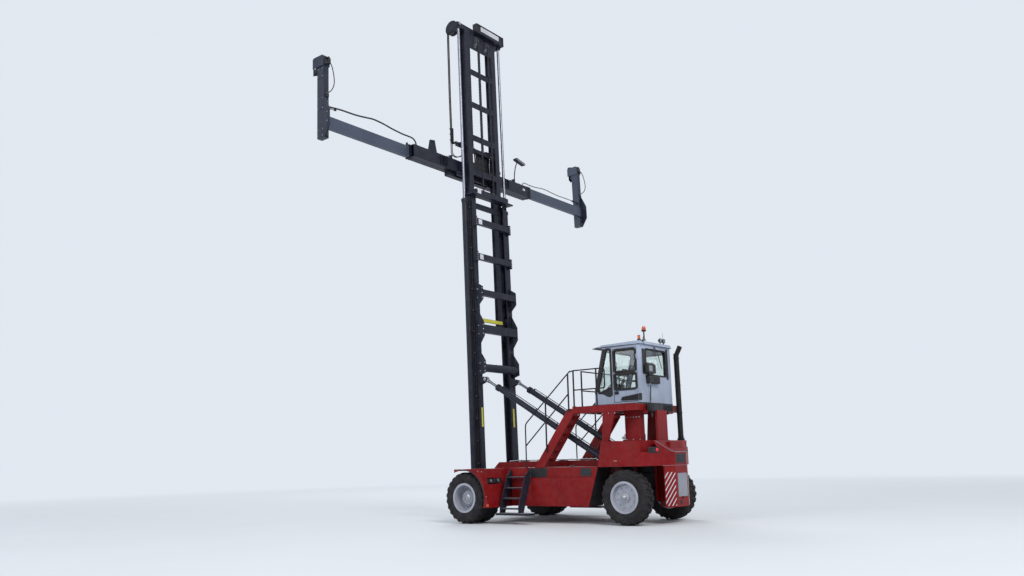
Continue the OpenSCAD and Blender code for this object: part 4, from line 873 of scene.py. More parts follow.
# Beacon, small lamp, two lamps facing back and an aerial
dark = Piece("roof_lamp_bases", "chassis", "black_plastic")
dark.slab((-4870, 630, -4630, 710), 20, "z", 4469, 4490)
dark.tube([(-4832, 670, 4488), (-4832, 670, 4700)], 17, 14, smooth=False)
dark.tube([(-4790, 670, 4488), (-4812, 670, 4560), (-4832, 670, 4640)], 8, 8)
dark.turned((-4832, 670, 4690), (0, 0, 1), [(24, 0), (58, 12), (62, 26), (62, 38), (54, 42)], 28)
dark.turned((-4685, 670, 4489), (0, 0, 1), [(44, 0), (44, 34), (36, 40)], 24)
dark.turned((-4685, 670, 4606), (0, 0, 1), [(38, 0), (38, 8), (20, 16), (0.5, 17)], 24)
for y in (-380, -560):
    dark.box((-4740, y - 40, 4469), (-4690, y + 40, 4480))
    dark.turned((-4716, y, 4478), (0, 0, 1), [(15, 0), (13, 44)], 14)
    dark.turned((-4670, y, 4570), (-1, 0, 0), [(0.5, 0), (26, 2), (52, 22), (60, 44), (60, 72), (54, 74), (54, 60)], 28)
    for k in range(5):
        dark.box((-4688 + 3 * k, y - 44, 4540 + 12 * k), (-4684 + 3 * k, y + 44, 4544 + 12 * k))
dark.turned((-4660, -640, 4470), (0, 0, 1), [(22, 0), (18, 14), (8, 40), (5, 60), (3, 330), (0.5, 332)], 12)
dark.turned((-4600, -700, 4450), (0, 0, 1), [(34, 0), (30, 24), (0.5, 60)], 20)
dark.done(bevel=2, replaces=["roof_lamps"])
amber = Piece("roof_lamp_domes", "chassis", "orange_lens")
amber.turned((-4832, 670, 4731), (0, 0, 1), [(54, 0), (55, 40), (51, 72), (38, 92), (14, 100), (0.5, 101)], 32)
for z in (14, 28, 42, 56):
    amber.turned((-4832, 670, 4731 + z), (0, 0, 1), [(55.5, -3), (58, 0), (55.5, 3)], 32, close=True)
amber.turned((-4685, 670, 4528), (0, 0, 1), [(36, 0), (38, 30), (37, 60), (34, 79)], 24)
amber.done(replaces=["roof_lamps"])
pale = Piece("roof_lamp_lenses", "chassis", "clear_lens")
for y in (-380, -560):
    pale.turned((-4728, y, 4570), (-1, 0, 0), [(54, 0), (53, 6), (38, 12), (16, 15), (0.5, 16)], 28)
pale.done(replaces=["roof_lamps"])

# Dark bands that carry the side glass to the front edge, and a skirt under the walls
GLASS_FOOT = [(-3396, 3300), (-3436, 3272), (-3659, 3182), (-3775, 3124), (-3863, 3114), (-3925, 3165),
              (-3925, 3345), (-3880, 3345), (-3540, 3225), (-3480, 3308)]
GLASS_FRONT = [(-3735, 4345), (-3662, 4345), (-3396, 3310), (-3394, 3200), (-3452, 3218), (-3452, 3330)]
bands_side = Piece("side_glass_bands", "chassis", "black_plastic")
for g in (1, -1):
    bands_side.prism(GLASS_FRONT, "y", g * 789.5, g * 796)
    bands_side.prism(GLASS_FOOT, "y", g * 789.5, g * 795)
    bands_side.prism([(-4758, 2902), (-4758, 2936), (-3394, 2936), (-3394, 2902)], "y", g * 789.5, g * 796)
bands_side.box((-3391, -788, 2902), (-3384, 788, 2936))
bands_side.box((-4766, -788, 2902), (-4759.5, 788, 2936))
bands_side.done(bevel=1.5)

# ---------------------------------------------------------------- inside the cab
desk = Piece("dashboard", "chassis", "black_plastic")
desk.prism([(-3560, 2963), (-3480, 3080), (-3500, 3420), (-3560, 3500), (-3700, 3470), (-3720, 3400), (-3640, 3330),
            (-3620, 2963)], "y", -175, 175)
desk.slab((-3706, 3402, -3588, 3480), 10, "y", -190, 190)
for y in (-110, 0, 110):
    desk.turned((-3690, y, 3476), (-0.3, 0, 1), [(34, 0), (34, 10), (28, 12), (28, 6)], 24)
desk.turned((-3700, 0, 3430), (-0.42, 0, 0.9), [(34, -90), (30, 60), (24, 150)], 20)
rim = [Vector((-3780, 0, 3582)) + 182 * (math.cos(a) * Vector((0, 1, 0)) + math.sin(a) * Vector((0.9, 0, 0.42)))
       for a in (2 * math.pi * k / 40 for k in range(40))]
for k in range(40):
    desk.rod(rim[k], rim[(k + 1) % 40] + (rim[(k + 1) % 40] - rim[k]) * 0.05, 13, 8)
for k in (3, 20, 33):
    desk.rod((-3776, 0, 3572), rim[k], 10, 8)
desk.turned((-3776, 0, 3560), (-0.42, 0, 0.9), [(46, 0), (46, 22), (30, 34), (0.5, 36)], 24)
for y in (-120, 90):
    desk.prism([(-3560, 2970), (-3540, 2970), (-3640, 3110), (-3655, 3095)], "y", y - 45, y + 45)
desk.slab((-4520, 3380, -4020, 3450), 20, "y", -420, -300)
desk.slab((-4480, 2962, -4260, 3382), 20, "y", -410, -330)
desk.turned((-4090, -360, 3450), (0, 0, 1), [(30, 0), (26, 20), (12, 34), (12, 110), (26, 130), (28, 165), (16, 180),
                                             (0.5, 182)], 20)
for k in range(4):
    desk.turned((-4180 - 60 * k, -345, 3450), (0, 0, 1), [(16, 0), (15, 8), (8, 14), (8, 30), (0.5, 32)], 12)
desk.slab((-330, 3700, -120, 3900), 16, "x", -3720, -3690)
desk.rod((-3690, -225, 3700), (-3640, -225, 3450), 12)
desk.done(bevel=3, replaces=["console"])
gauge = Piece("screen_and_gauges", "chassis", "grey_plate")
for y in (-110, 0, 110):
    gauge.turned((-3692, y, 3482), (-0.3, 0, 1), [(27, 0), (27, 3)], 24)
gauge.slab((-315, 3716, -135, 3884), 10, "x", -3723, -3719)
gauge.done()

mount = Piece("seat_stand", "chassis", "black_plastic")
mount.slab((-4420, -170, -4110, 170), 30, "z", 2961, 2990)
for k in range(9):
    mount.turned((-4265, 0, 2990 + 26 * k), (0, 0, 1), [(128, 0), (146, 13), (128, 26)], 4)
mount.slab((-4470, -235, -3990, 235), 50, "z", 3224, 3262)
mount.prism([(-4500, 3262), (-4440, 3262), (-4520, 3700), (-4560, 3980), (-4590, 3980), (-4560, 3600)], "y", -200, 200)
for g in (1, -1):
    mount.tube([(-4460, g * 262, 3280), (-4490, g * 268, 3400), (-4480, g * 272, 3480)], 14, 8)
    mount.slab((-4500, 3490, -4170, 3540), 22, "y", g * 262, g * 318)
mount.done(bevel=4, replaces=["seat"])


def cushion(name, mid, size, tilt=0.0, power=0.36, channels=()):
    """A crowned pad whose sides pull in between its corners, with sewn channels across it."""
    pad = Piece(name, "chassis", "seat_cloth")
    nu, nv = 44, 28
    half = Vector(size) / 2
    turn = Matrix.Rotation(tilt, 3, "Y")

    def curve(value, p):
        return math.copysign(abs(value) ** p, value)

    rows = []
    for i in range(1, nv):
        v = -math.pi / 2 + math.pi * i / nv
        ring = []
        for j in range(nu):
            u = 2 * math.pi * j / nu
            x = curve(math.cos(v), power) * curve(math.cos(u), power)
            y = curve(math.cos(v), power) * curve(math.sin(u), power)
            z = curve(math.sin(v), 0.55)
            edge = 1 - 0.035 * (math.cos(2 * u) ** 2) * (1 - abs(z))
            p = Vector((x * half.x * edge, y * half.y * edge, z * half.z))
            if z > 0:
                p.z += half.z * 0.35 * (1 - x * x) * (1 - y * y)
                for c in channels:
                    p.z -= 9 * math.exp(-((p.x - c) / 9) ** 2) * (1 - y ** 6)
            ring.append(turn @ p + Vector(mid))
        rows.append(ring)
    pad.rings(rows)
    obj = pad.done(smooth=80, replaces=["seat"])
    mod = obj.modifiers.new("soft", "SUBSURF")
    mod.levels = mod.render_levels = 1
    return obj


cushion("seat_cushion", (-4230, 0, 3312), (500, 490, 112), 0.05, channels=(-120, 0, 120))
cushion("seat_back", (-4462, 0, 3660), (640, 450, 110), -math.pi / 2 + 0.17 + math.pi, channels=(-150, -30, 90))
piping = Piece("seat_piping", "chassis", "seal_rubber")
loop = rounded(rect(-4470, -236, -3988, 236), 70, 6)
loop = loop + [loop[0]]
piping.tube([(x, y, 3326 + (x + 4230) * -0.05) for x, y in loop], 5, 6, smooth=False)
piping.done()

# ---------------------------------------------------------------- mast
LIFT_Y, CHAIN_Y, SHEAVE_X, SHEAVE_Z, CHAIN_R = 975, 245, 565, 14595, 177
INNER_BARS = (13490, 12400, 11310, 10220, 9130)


def chain(piece, points, y):
    """Leaf chain along the points, one pitch from each to the next."""
    for k, (a, b) in enumerate(zip(points, points[1:])):
        a, b = Vector(a), Vector(b)
        d = (b - a).normalized()
        n = Vector((-d.z, 0, d.x))
        ring = [a - d * 13, a - d * 5 + n * 14, b + d * 5 + n * 14,
                b + d * 13, b + d * 5 - n * 14, a - d * 5 - n * 14]
        for off in ((-21, -7, 7, 21) if k % 2 else (-14, 0, 14)):
            piece.rings([[Vector((p.x, y + off + t, p.z)) for p in ring] for t in (-3.2, 3.2)])
        piece.rod((a.x, y - 27, a.z), (a.x, y + 27, a.z), 6.5, 8)


def run(x, z0, z1, pitch=50):
    """The pins of an upright run of chain."""
    count = max(2, round(abs(z1 - z0) / pitch))
    return [(x, 0, z0 + (z1 - z0) * k / count) for k in range(count + 1)]


for side, g in (("left", 1), ("right", -1)):
    y = g * CHAIN_Y
    front = Piece("chain_front_" + side, "carriage", "chain_steel", mast_spot)
    chain(front, run(SHEAVE_X + CHAIN_R, SHEAVE_Z, 11155), y)
    front.done(smooth=30, cross=("inner_mast", "carriage", (742, 0, SHEAVE_Z), (742, 0, 11160)))
    back = Piece("chain_rear_" + side, "outer_mast", "chain_steel", mast_spot)
    chain(back, run(SHEAVE_X - CHAIN_R, SHEAVE_Z, 9640), y)
    back.done(smooth=30, cross=("inner_mast", "outer_mast", (388, 0, SHEAVE_Z), (388, 0, 9645)))
    over = Piece("chain_over_" + side, "inner_mast", "chain_steel", mast_spot)
    arc = [(SHEAVE_X + CHAIN_R * math.cos(a), 0, SHEAVE_Z + CHAIN_R * math.sin(a))
           for a in (math.pi * k / 11 for k in range(12))]
    chain(over, arc, y)
    over.turned((SHEAVE_X, y - 68, SHEAVE_Z), (0, 1, 0),
                [(34, 0), (34, 5), (22, 5), (22, 132), (34, 132), (34, 136)], 24)
    over.done(smooth=30)

anchors = Piece("chain_anchors_low", "outer_mast", "steel", mast_spot)
for y in (-CHAIN_Y, CHAIN_Y):
    anchors.slab((352, 9561, 412, 9600), 8, "y", y - 42, y + 42)
    for t in (-30, 24):
        anchors.prism([(376, 9600), (400, 9600), (400, 9660), (388, 9672), (376, 9660)], "y", y + t, y + t + 6)
    anchors.turned((388, y - 34, 9645), (0, 1, 0), [(8, 0), (8, 68)], 12)
    anchors.bolts([(364, y - 28, 9600), (364, y + 28, 9600)], (0, 0, 1), 9, 8)
anchors.done(bevel=1.5)
anchors = Piece("chain_anchors_high", "carriage", "steel", mast_spot)
for y in (-CHAIN_Y, CHAIN_Y):
    anchors.slab((700, 11071, 778, 11110), 8, "y", y - 42, y + 42)
    anchors.turned((742, y, 11108), (0, 0, 1), [(20, 0), (20, 14), (12, 16), (12, 30)], 16)
    for t in (-30, 24):
        anchors.prism([(728, 11120), (756, 11120), (756, 11168), (742, 11180), (728, 11168)], "y", y + t, y + t + 6)
    anchors.turned((742, y - 34, 11158), (0, 1, 0), [(8, 0), (8, 68)], 12)
anchors.done(bevel=1.5)

# Crosshead, bars and uprights: plates, bolts, welds and strips
plates = Piece("blank_plates", "outer_mast", "white_plate", mast_spot)
for z, x in ((9485, 240), (8548, 250), (7476, 250)):
    plates.slab((548, z - 72, 708, z + 80), 14, "x", x - 7, x - 0.5)
plates.done(bevel=1.5)
bolts = Piece("mast_bolts", "outer_mast", "steel", mast_spot)
for g in (1, -1):
    for z in (8560, 7490):
        bolts.bolts([(249, g * 798, z + t) for t in (-95, -35, 35, 95)], (-1, 0, 0), 15, 12)
    for z in (9440, 9530):
        bolts.bolts([(239, g * 740, z)], (-1, 0, 0), 13, 10)
    for low, high in ((6220, 6530), (5160, 5460), (4090, 4370)):
        bolts.bolts([(150, g * 791, low + t * (high - low)) for t in (0.06, 0.5, 0.94)], (0, g, 0), 15, 11)
        bolts.bolts([(330, g * 791, low + t * (high - low)) for t in (0.1, 0.9)], (0, g, 0), 15, 11)
    bolts.bolt_ring((515, g * 831, 640), (0, g, 0), 70, 6, 13, 10)
    bolts.turned((515, g * 829, 760), (0, g, 0), [(62, 0), (62, 12), (50, 16), (20, 18), (0.5, 18)], 28)
    bolts.bolt_ring((575, g * 831, 9160), (0, g, 0), 30, 3, 8, 8)
    bolts.bolts([(262 + 90 * k, g * 900, 9410) for k in range(3)], (0, 0, 1), 15, 12)
    bolts.turned((178, g * 800, 3870), (0, g, 0), [(46, 0), (46, 10), (30, 14), (0.5, 14)], 24)
    bolts.bolts([(178, g * 812, 3870)], (0, g, 0), 14, 12)
bolts.done(bevel=1)
seams = Piece("mast_welds", "outer_mast", "charcoal_paint", mast_spot)
for g in (1, -1):
    for z, half, deep in ((8560, 90, 120), (7490, 90, 120), (6380, 90, 240), (5320, 120, 240)):
        for t in (-half, half):
            seams.weld((370 - deep + 6, g * 764, z + t), (368, g * 764, z + t), 8)
        seams.weld((370 - deep, g * 765, z - half), (370 - deep, g * 765, z + half), 8)
    for low, high in ((5960, 6720), (4790, 5950), (3990, 4780)):
        seams.weld((369, g * 790, low + 20), (369, g * 790, high - 20), 9)
        seams.weld((369, g * 765, low + 20), (369, g * 765, high - 20), 9)
    seams.turned((250, g * 764, 4210), (0, g, 0), [(127, -6), (119, 1), (119, -12)], 40)
    for x in (430, 600):
        seams.box((x - 12, g * 831, 2300), (x + 12, g * 845, 2310))
seams.done()
wear = Piece("wear_strips", "outer_mast", "yellow_strip", mast_spot)
wear.both(wear.prism, rounded(rect(692, 2550, 762, 3090), 8), "x", 366, 369.5)
wear.done(bevel=1)
wear = Piece("bar_strip", "inner_mast", "yellow_strip", mast_spot)
wear.prism(rect(-545, 5606, 545, 5704), "x", 493, 499.5)
wear.done(bevel=1)

# Pipes up the back of the outer mast with their clamps
pipes = Piece("mast_pipes", "outer_mast", "black_paint", mast_spot)
clamps = Piece("pipe_clamps", "outer_mast", "black_plastic", mast_spot)
for g in (1, -1):
    x = 470
    pipes.tube([(x, g * 905, 640), (x, g * 905, 5000), (x, g * 905, 8950), (x + 8, g * 912, 9120),
                (x + 30, g * 930, 9190)], 13, 12)
    pipes.tube([(x - 38, g * 870, 640), (x - 38, g * 870, 5000), (x - 38, g * 870, 9000), (x - 60, g * 840, 9180),
                (x - 120, g * 780, 9260), (x - 150, g * 700, 9300), (x - 148, g * 560, 9310)], 13, 12)
    for z in range(900, 9000, 620):
        clamps.slab((x - 64, g * 832, x + 26, g * 926), 10, "z", z, z + 44, 2)
        clamps.bolts([(x - 14, g * 905, z + 44), (x - 60, g * 846, z + 44)], (0, 0, 1), 8, 8)
pipes.done(smooth=50)
clamps.done(bevel=3)
glands = Piece("lift_glands", "outer_mast", "charcoal_paint", mast_spot)
for g in (1, -1):
    at = (545, g * LIFT_Y, 9160)
    glands.turned(at, (0, 0, 1), [(81, 0), (96, 4), (96, 84), (86, 96), (60, 104), (44, 106), (44, 60), (81, 60)], 40,
                  close=True)
    glands.bolt_ring((545, g * LIFT_Y, 9256), (0, 0, 1), 72, 8, 9, 10)
    glands.turned((545, g * LIFT_Y, 500), (0, 0, 1), [(81, 0), (94, 0), (94, 60), (81, 66)], 40, close=True)
    glands.box((470, g * 950, 9150), (440, g * 1000, 9200))
    glands.turned((545, g * (LIFT_Y + 78), 560), (0, g, 0), [(26, 0), (26, 26), (18, 30), (0.5, 30)], 20)
glands.done(bevel=2)
tops = Piece("lift_rod_heads", "inner_mast", "charcoal_paint", mast_spot)
for g in (1, -1):
    tops.turned((545, g * LIFT_Y, 14760), (0, 0, 1), [(43, 0), (70, 14), (70, 59), (43, 59)], 32, close=True)
    tops.bolt_ring((545, g * LIFT_Y, 14971), (0, 0, 1), 55, 6, 12, 12)
    for z in INNER_BARS:
        for t in (-90, 90):
            tops.weld((499, g * 549, z + t), (530, g * 549, z + t), 6)
        tops.bolts([(499, g * 520, z - 50), (499, g * 520, z + 50)], (-1, 0, 0), 11, 9)
tops.done(bevel=1.5)
sign = Piece("blank_sign", "inner_mast", "white_plate", mast_spot)
sign.slab((-820, 14965, 84, 15122), 12, "x", 366, 375.5)
sign.done(bevel=1.5)
head = Piece("mast_head_gear", "inner_mast", "black_plastic", mast_spot)
head.prism([(352, 14880), (372, 14880), (372, 15150), (352, 15150)], "y", 300, 316)
head.box((360, 292, 14900), (500, 300, 15130))
head.turned((480, 1000, 14900), (-1, 0, 0), [(58, -20), (58, 18), (50, 24), (50, 8)], 28)
head.bolts([(361, y, z) for y in (-1040, 270) for z in (14880, 15150)], (-1, 0, 0), 9, 8)
for y in (752 - 71, 748 + 71):
    s = 1 if y > 750 else -1
    head.turned((960, y, 15000), (0, s, 0), [(70, 0), (70, 10), (40, 14), (0.5, 14)], 24)
    head.bolt_ring((960, y, 15000), (0, s, 0), 190, 8, 10, 8, 0.2)
head.done(bevel=2)
boss = Piece("head_marker", "inner_mast", "clear_lens", mast_spot)
boss.turned((464, 1000, 14900), (-1, 0, 0), [(49, 0), (47, 6), (30, 12), (0.5, 14)], 28)
boss.done()
drum = Piece("hose_sheave", "inner_mast", "black_plastic", mast_spot)
drum.turned((960, 690, 15000), (0, 1, 0),
            [(30, 0), (200, 6), (222, 0), (222, 10), (196, 18), (196, 46), (214, 54), (214, 66),
             (196, 74), (196, 102), (222, 110), (222, 120), (200, 114), (30, 120)], 48)
drum.done()

# Hoses from the sheave down to the carriage, and from its arm to the spreader
arm = Piece("hose_arm", "carriage", "charcoal_paint", mast_spot)
arm.slab((640, 505, 700, 541), 6, "z", 11129, 11290, 2)
arm.box((640, 505, 11235), (1120, 541, 11290))
arm.prism([(1030, 505), (1120, 505), (1172, 700), (1172, 800), (1112, 800), (1112, 720)], "z", 11240, 11285)
arm.box((1118, 700, 11200), (1134, 800, 11720))
for z in (11330, 11520, 11690):
    arm.box((1132, 704, z), (1206, 796, z + 26))
    arm.bolts([(1206, 750, z + 13)], (1, 0, 0), 9, 8)
arm.done(bevel=2.5)
for k, y in enumerate((722, 778)):
    hose("mast_hose_%d" % k, "carriage", [(1170, y, 14990), (1174, y, 14400), (1176, y, 13600), (1178, y, 12800),
                                          (1172, y, 12100), (1170, y, 11700), (1170, y, 11230)], 17, mast_spot,
         cross=("inner_mast", "carriage", (1170, 750, 14940), (1170, 750, 11720)))
block = Piece("valve_block", "spreader", "charcoal_paint", mast_spot)
block.slab((905, -180, 1105, 330), 14, "z", 10556, 10700, 2)
for y in (-120, -30, 60, 150, 240):
    block.turned((1106, y, 10640), (1, 0, 0), [(26, 0), (26, 40), (20, 44), (20, 70), (12, 74), (0.5, 74)], 18)
    block.turned((940, y, 10700), (0, 0, 1), [(18, 0), (18, 22), (12, 26), (12, 40)], 14)
    block.turned((1040, y, 10700), (0, 0, 1), [(22, 0), (22, 46), (16, 50), (0.5, 52)], 16)
block.bolts([(x, y, 10700) for x in (925, 1085) for y in (-165, 315)], (0, 0, 1), 10, 9)
block.done(bevel=3)
for k, (y, to) in enumerate(((722, 240), (778, 150))):
    hose("spreader_hose_%d" % k, "spreader", hung((1170, y, 11250), (940, to, 10738), 0.5 - 0.16 * k), 13, mast_spot,
         cross=("carriage", "spreader", (1170, 750, 11200), (1060, 600, 10820)))

# Carriage: roller caps, bolts, dark panels and the side shift cylinder seen through the mast
gear = Piece("carriage_gear", "carriage", "steel", mast_spot)
for g in (1, -1):
    for z in (10390, 10940):
        gear.turned((635, g * 496, z), (0, -g, 0), [(44, 0), (44, 12), (30, 18), (0.5, 18)], 28)
        gear.bolt_ring((635, g * 496, z), (0, -g, 0), 62, 6, 9, 8)
    gear.bolts([(779, g * y, z) for y in (860, 940) for z in (10080, 10160, 11020, 11100)], (-1, 0, 0), 12, 9)
    gear.tube([(700, g * 490, 10980), (690, g * 470, 10700), (700, g * 475, 10480), (720, g * 490, 10420)], 7, 8)
gear.done(bevel=1.5)
panel = Piece("carriage_panels", "carriage", "black_plastic", mast_spot)
panel.slab((-470, 10215, 60, 10965), 20, "x", 788, 809)
for y in (-400, -230, -60):
    panel.box((776, y - 8, 10240), (789, y + 8, 10940))
for z in (10330, 10500, 10670, 10840):
    panel.box((776, -455, z - 8), (789, 45, z + 8))
panel.slab((150, 10250, 470, 10640), 18, "x", 744, 809)
for k in range(7):
    panel.box((732, 165, 10280 + 50 * k), (745, 455, 10306 + 50 * k))
for y in (110, 140, 480):
    panel.tube([(790, y, 10210), (776, y + 6, 10500), (784, y - 4, 10750), (790, y, 10970)], 11, 8)
panel.turned((790, 300, 10800), (-1, 0, 0), [(70, 0), (70, 30), (52, 38), (52, 24)], 28)
panel.done(bevel=3)
cyl = Piece("side_shift_cylinder", "carriage", "charcoal_paint", mast_spot)
cyl.turned((735, -420, 10240), (0, 1, 0), [(30, 0), (52, 6), (52, 600), (58, 604), (58, 640), (30, 650)], 28)
cyl.box((700, -440, 10190), (781, -400, 10290))
cyl.done(bevel=2)
shaft = Piece("side_shift_rod", "carriage", "chrome", mast_spot)
shaft.rod((735, 225, 10240), (735, 420, 10240), 26, 20)
shaft.done()

# ---------------------------------------------------------------- spreader
POST_Y, LOCK_Y, LOCK_X = 5942.5, 5992.5, 1225
mid = Piece("spreader_collars", "spreader", "black_paint", mast_spot)
for x0, g in ((1000, 1), (830, -1)):
    ring = [(x0 - 8, 10177), (x0 + 168, 10177), (x0 + 168, 10563), (x0 - 8, 10563)]
    for y0, y1 in ((2660, 2692), (2748, 2786)):
        mid.band(ring, inset(ring, 9), "y", g * y0, g * y1)
    mid.band(ring, inset(ring, 14), "y", g * 2781, g * 2786)
    for z in (10230, 10370, 10510):
        mid.bolts([(x0 + 168, g * 2676, z)], (1, 0, 0), 13, 10)
        mid.bolts([(x0 - 8, g * 2676, z)], (-1, 0, 0), 13, 5)
mid.box((1085, 2655, 10563), (1160, 2700, 10640))
mid.prism([(1085, 10560), (1160, 10560), (1160, 10640), (1140, 10680), (1100, 10680), (1085, 10640)], "y", 2752, 2776)
mid.done(bevel=3)
ribs = Piece("spreader_ribs", "spreader", "charcoal_paint", mast_spot)
for y in (1400, 1480, 1560, 1650, -1420, -1560):
    ribs.prism([(831, 10230), (775, 10260), (775, 10510), (831, 10550)], "y", y - 9, y + 9)
for y in range(-2600, 2700, 400):
    for x in (1000, 830):
        ribs.box((x + 4, y - 30, 10554), (x + 156, y + 30, 10562))
for y in (-2300, -1500, -700, 0, 700, 1500, 2300):
    ribs.box((1159, y - 25, 10200), (1168, y + 25, 10540))
for g in (1, -1):
    ribs.weld((995, g * 10, 10553), (995, g * 2600, 10553), 7)
for y in (-1190, -600, 0, 600, 1190):
    ribs.prism([(936, 10044), (1094, 10044), (1094, 10186), (936, 10186)], "y", y - 8, y + 8)
ribs.bolts([(849, y, z) for y in (1850, 1960, 2080) for z in (10600, 10800)], (1, 0, 0), 12, 9)
ribs.turned((830, 1985, 10850), (-1, 0, 0), [(38, -8), (38, 6), (24, 10), (24, -8)], 24)
ribs.done(bevel=2)
eye = Piece("lifting_eyes", "spreader", "steel", mast_spot)
for y in (-2000, -1100, 1100):
    eye.turned((995, y - 26, 10640), (0, 1, 0), [(22, 0), (34, 4), (34, 48), (22, 52)], 20, close=True)
    eye.bolts([(900, y - 20, 10620), (1090, y - 20, 10620)], (0, -1, 0), 10, 8)
eye.done(bevel=1)
for name, g, x in (("left", 1, 975), ("right", -1, 1000)):
    push = Piece("telescope_cylinder_" + name, "spreader", "charcoal_paint", mast_spot)
    push.turned((x, g * 300, 10590), (0, g, 0), [(22, 0), (36, 4), (36, 700), (41, 704), (41, 740), (24, 744)], 20)
    for y0, y1 in ((280, 320), (1000, 1030)):
        push.box((x - 44, g * y0, 10556), (x + 44, g * y1, 10625))
    push.done(bevel=2)

# Lamp on its pole, a small lamp, a blank badge, and pipes along both sides
pole = Piece("work_lamp_pole", "spreader", "black_paint", mast_spot)
pole.tube([(870, -1990, 10560), (870, -1995, 10800), (862, -2060, 11100), (858, -2150, 11290)], 17, 12)
pole.box((845, -2030, 10553), (900, -1950, 10570))
pole.prism([(-2460, 11240), (-2010, 11330), (-2010, 11390), (-2060, 11410), (-2490, 11320), (-2500, 11260)],
           "x", 770, 900)
for k in range(5):
    pole.box((900, -2440 + 85 * k, 11270 + 15 * k), (922, -2420 + 85 * k, 11340 + 15 * k))
pole.slab((-1240, 10620, -1130, 10730), 50, "x", 850, 905, 5)
pole.box((870, -1205, 10553), (895, -1165, 10630))
pole.done(bevel=3)
face = Piece("work_lamp_glass", "spreader", "clear_lens", mast_spot)
face.prism([(-2440, 11256), (-2040, 11336), (-2040, 11376), (-2460, 11296)], "x", 762, 771)
face.slab((-1228, 10632, -1142, 10718), 40, "x", 843, 851, 5)
face.done(bevel=1)
badge = Piece("blank_badge", "spreader", "white_plate", mast_spot)
badge.slab((-2480, 10360, -2360, 10440), 30, "x", 826, 829.5, 4)
badge.done(bevel=1)
pipes = Piece("spreader_pipes", "spreader", "steel", mast_spot)
for k, z in enumerate((10575, 10600)):
    for g, start in ((1, 340), (-1, -190)):
        pipes.tube([(1110 + 14 * k, start, z), (1125, g * 700, z), (1130, g * 1500, z), (1130, g * 2560, z)], 9, 8)
pipes.done(smooth=50)
grips = Piece("spreader_clamps", "spreader", "black_plastic", mast_spot)
for y in (-2500, -1900, -1300, -500, 500, 1300, 1900, 2500):
    grips.slab((1095, y - 20, 1150, y + 20), 8, "z", 10554, 10618, 2)
grips.done(bevel=2)

